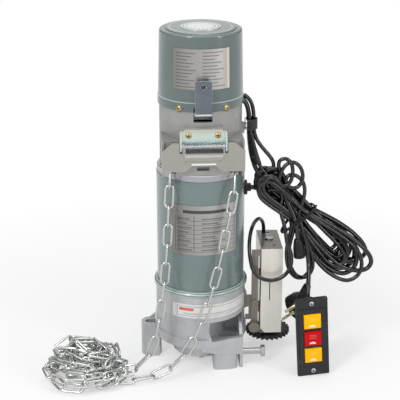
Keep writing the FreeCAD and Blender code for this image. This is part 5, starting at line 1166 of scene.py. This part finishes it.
# %% Spring
SPRING_TURNS, TURN_STEPS = 21, 16
SPRING_HALF = 22.4
SPRING_R = 3.3
SPRING_WIRE_R = 0.62
SPRING_Y, SPRING_Z = -61.6, 303.5
SPRING_LEG = np.array([(-21.9, -69.2, 287), (-22.0, -68.9, 294), (-22.2, -66.8, 300)])
s = np.linspace(0, 1, SPRING_TURNS * TURN_STEPS + 1)
wave = 2 * np.pi * SPRING_TURNS * s
helix = np.stack([-SPRING_HALF + 2 * SPRING_HALF * s, SPRING_Y - SPRING_R * np.cos(wave),
                  SPRING_Z + SPRING_R * np.sin(wave)], axis=1)
spring_points = along_path(np.vstack([SPRING_LEG, helix]), SPRING_WIRE_R, 6)
tube_piece("guide_spring_wire", spring_points, STEEL, ("guide_spring",))
print("spring rings", len(spring_points))

# %% [markdown]
# Screw heads are domes with a cross in them. The dome is a turned profile, and for the cross two black
# bars are sunk in its top as painted shade of the recess, which reads the same at this size and keeps the
# mesh small.

# %% Screw heads
CAP_SCREW_ANGLE = 31.8
CAP_SCREW_OUT, CAP_SCREW_Z = 53.3, 346.8
BRACKET_SCREW_HALF = 17.3
BRACKET_SCREW_Y, BRACKET_SCREW_Z = -57.0, 316.5
CROSS_LONG, CROSS_WIDE = 1.15, 0.24
CROSS_HEIGHTS = (0.7, 1.02)
LARGE_HEAD, SMALL_HEAD = (3.7, 2.3), (3.2, 1.4)
STATION_SCREW_HEIGHTS = (6.2, 99.8)
LEAN = (Matrix.Translation((139.6, -72, 0)) @ Matrix.Rotation(math.radians(4.0), 4, "Z")
        @ Matrix.Translation((-21, 0, 0)) @ Matrix.Rotation(math.radians(-3.6), 4, "Y")
        @ Matrix.Translation((21, 0, 0)))


def screw_head(name, place, direction, size, material):
    """A dome of a radius and a height, with two black bars that paint the shade in its cross."""
    radius, height = size
    profile = [(radius * 0.97, 0.0), (radius, height * 0.2), (radius * 0.9, height * 0.6),
               (radius * 0.6, height * 0.92), (0.3, height)]
    m = aim(place, direction, (0, 0.1, 1))
    head = tube_piece(name, moved(turned(profile, 28), m), material)
    long, short = radius * CROSS_LONG, radius * CROSS_WIDE
    for k, (w, d) in enumerate(((long, short), (short, long))):
        x = np.array([-w, w, w, -w]) / 2
        y = np.array([-d, -d, d, d]) / 2
        corners = [np.column_stack([x, y, np.full(4, height * share)]) for share in CROSS_HEIGHTS]
        # Black bars: painted shade of the cross recess.
        tube_piece("%s_slot_%d" % (name, k), moved(np.stack(corners), m), BLACK)
    return head


for k, degrees in enumerate((-CAP_SCREW_ANGLE, CAP_SCREW_ANGLE)):
    a = math.radians(degrees)
    out = (math.sin(a), -math.cos(a), 0)
    place = np.array(out) * CAP_SCREW_OUT + np.array([0, 0, CAP_SCREW_Z])
    screw_head("cap_screw_%d" % k, place, out, LARGE_HEAD, BRASS)
for k, x in enumerate((-BRACKET_SCREW_HALF, BRACKET_SCREW_HALF)):
    place = (x, BRACKET_SCREW_Y, BRACKET_SCREW_Z)
    screw_head("bracket_screw_%d" % k, place, (0, -1, 0), LARGE_HEAD, BRASS)
for k, z in enumerate(STATION_SCREW_HEIGHTS):
    place = np.array(LEAN @ Vector((0, 0, z)))
    facing = tuple(LEAN.to_3x3() @ Vector((0, -1, 0)))
    screw_head("station_screw_%d" % k, place, facing, SMALL_HEAD, STEEL)
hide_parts("cover_screws")

# %% [markdown]
# The stage is a pale floor that fades into white. The camera sees a white world, while the lamps stay
# moderate, so the enamel and the castings keep their own colours. Polished metal is only as dark as what
# it mirrors, so three dark screens stand round the motor, and only reflections show them.

# %% Floor, world and lamps
FLOOR_HALF, FLOOR_POINTS = 4, 9
FADE_START, FADE_END = 0.25, 0.6
SCREENS = ((60.0, 80.0, 6.0, 0.6), (112.0, 168.0, 8.0, 1.0), (-168.0, -98.0, 10.0, 1.0))
SCREEN_TOP = 0.75
SCREEN_SHARE = 0.9


def floor_finish():
    """Pale and matt for the light, and partly plain white to the eye, more so further out."""
    f = Finish("studio_floor")
    far = f.node("VectorMath", {"operation": "LENGTH"}, {0: f.place()}, out=1)
    grain = f.noise(5.0, 3.0)
    pale = f.node("BsdfDiffuse", sockets={"Color": f.mix(grain * 0.2, "F6F6F6", "EFEFF0")})
    white = f.node("Emission", sockets={"Color": (1, 1, 1, 1), "Strength": 1.0})
    shown = 0.5 * (f.node("LightPath", out="Is Camera Ray") + f.node("LightPath", out="Is Glossy Ray")
                   + f.node("LightPath", out="Is Transmission Ray"))
    fade = shown + (1 - shown) * f.ramp(far, FADE_START, FADE_END)
    return f.close("OutputMaterial", f.node("MixShader", sockets={0: fade, 1: pale, 2: white}))


line = np.linspace(-FLOOR_HALF, FLOOR_HALF, FLOOR_POINTS)
u, v = np.meshgrid(line, line, indexing="ij")
floor_mesh = bpy.data.meshes.new("floor")
floor_mesh.from_pydata(np.stack([u, v, 0 * u], axis=-1).reshape(-1, 3).tolist(), [],
                       grid_faces(FLOOR_POINTS, FLOOR_POINTS, False, False).tolist())
floor_mesh.materials.append(floor_finish())
linked("floor", floor_mesh)


def studio_world():
    """White to the camera, through glass and in reflections, but for three dark screens in reflections."""
    w = Wiring(bpy.data.worlds.new("studio"))
    seen = w.node("LightPath", out="Is Camera Ray")
    through = w.node("LightPath", out="Is Transmission Ray")
    mirrored = w.node("LightPath", out="Is Glossy Ray")
    x, y, z = w.split(w.node("TexCoord", out="Generated"))
    angle = compass(x, y)

    def screen(low, high, soft, share):
        """Its share well inside two angles, 0 outside them, with a soft edge."""
        rise = (angle - (low - soft)) / (2 * soft)
        fall = ((high + soft) - angle) / (2 * soft)
        inside = angle.maths("MINIMUM", rise, fall)
        return angle.maths("MINIMUM", angle.maths("MAXIMUM", inside, 0.0), 1.0) * share

    dark = sum(screen(*sizes) for sizes in SCREENS) * (z < SCREEN_TOP) * SCREEN_SHARE
    white_share = seen + through * (1 - seen) + mirrored * (1 - dark)
    dim = w.node("Background", sockets={"Color": (0.97, 0.985, 1.0, 1), "Strength": 0.5})
    black = w.node("Background", sockets={"Color": (0.06, 0.06, 0.065, 1), "Strength": 1.0})
    white = w.node("Background", sockets={"Color": (1, 1, 1, 1), "Strength": 1.0})
    in_mirror = w.node("MixShader", sockets={0: mirrored, 1: dim, 2: black})
    return w.close("OutputWorld", w.node("MixShader", sockets={0: white_share, 1: in_mirror, 2: white}))


bpy.context.scene.world = studio_world()


def softbox(name, place, target, size, power):
    """An area lamp that faces a point."""
    data = bpy.data.lights.new(name, "AREA")
    data.shape = "RECTANGLE"
    data.size, data.size_y = size
    data.energy = power
    lamp = linked(name, data)
    lamp.location = place
    lamp.rotation_euler = (Vector(target) - Vector(place)).to_track_quat("-Z", "Y").to_euler()


softbox("key", (-0.9, -1.2, 1.3), (0, 0, 0.2), (0.28, 1.1), 14.0)
softbox("fill", (1.2, -1.0, 0.8), (0, 0, 0.2), (0.16, 1.1), 5.5)
softbox("top", (0.1, -0.1, 1.7), (0, 0, 0), (1.0, 1.0), 8.0)
print("lamps", len(bpy.data.lights))

# %% [markdown]
# The picture uses the Standard view, so colours come out as they are written.

# %% View and the end
bpy.context.scene.view_settings.view_transform = "Standard"
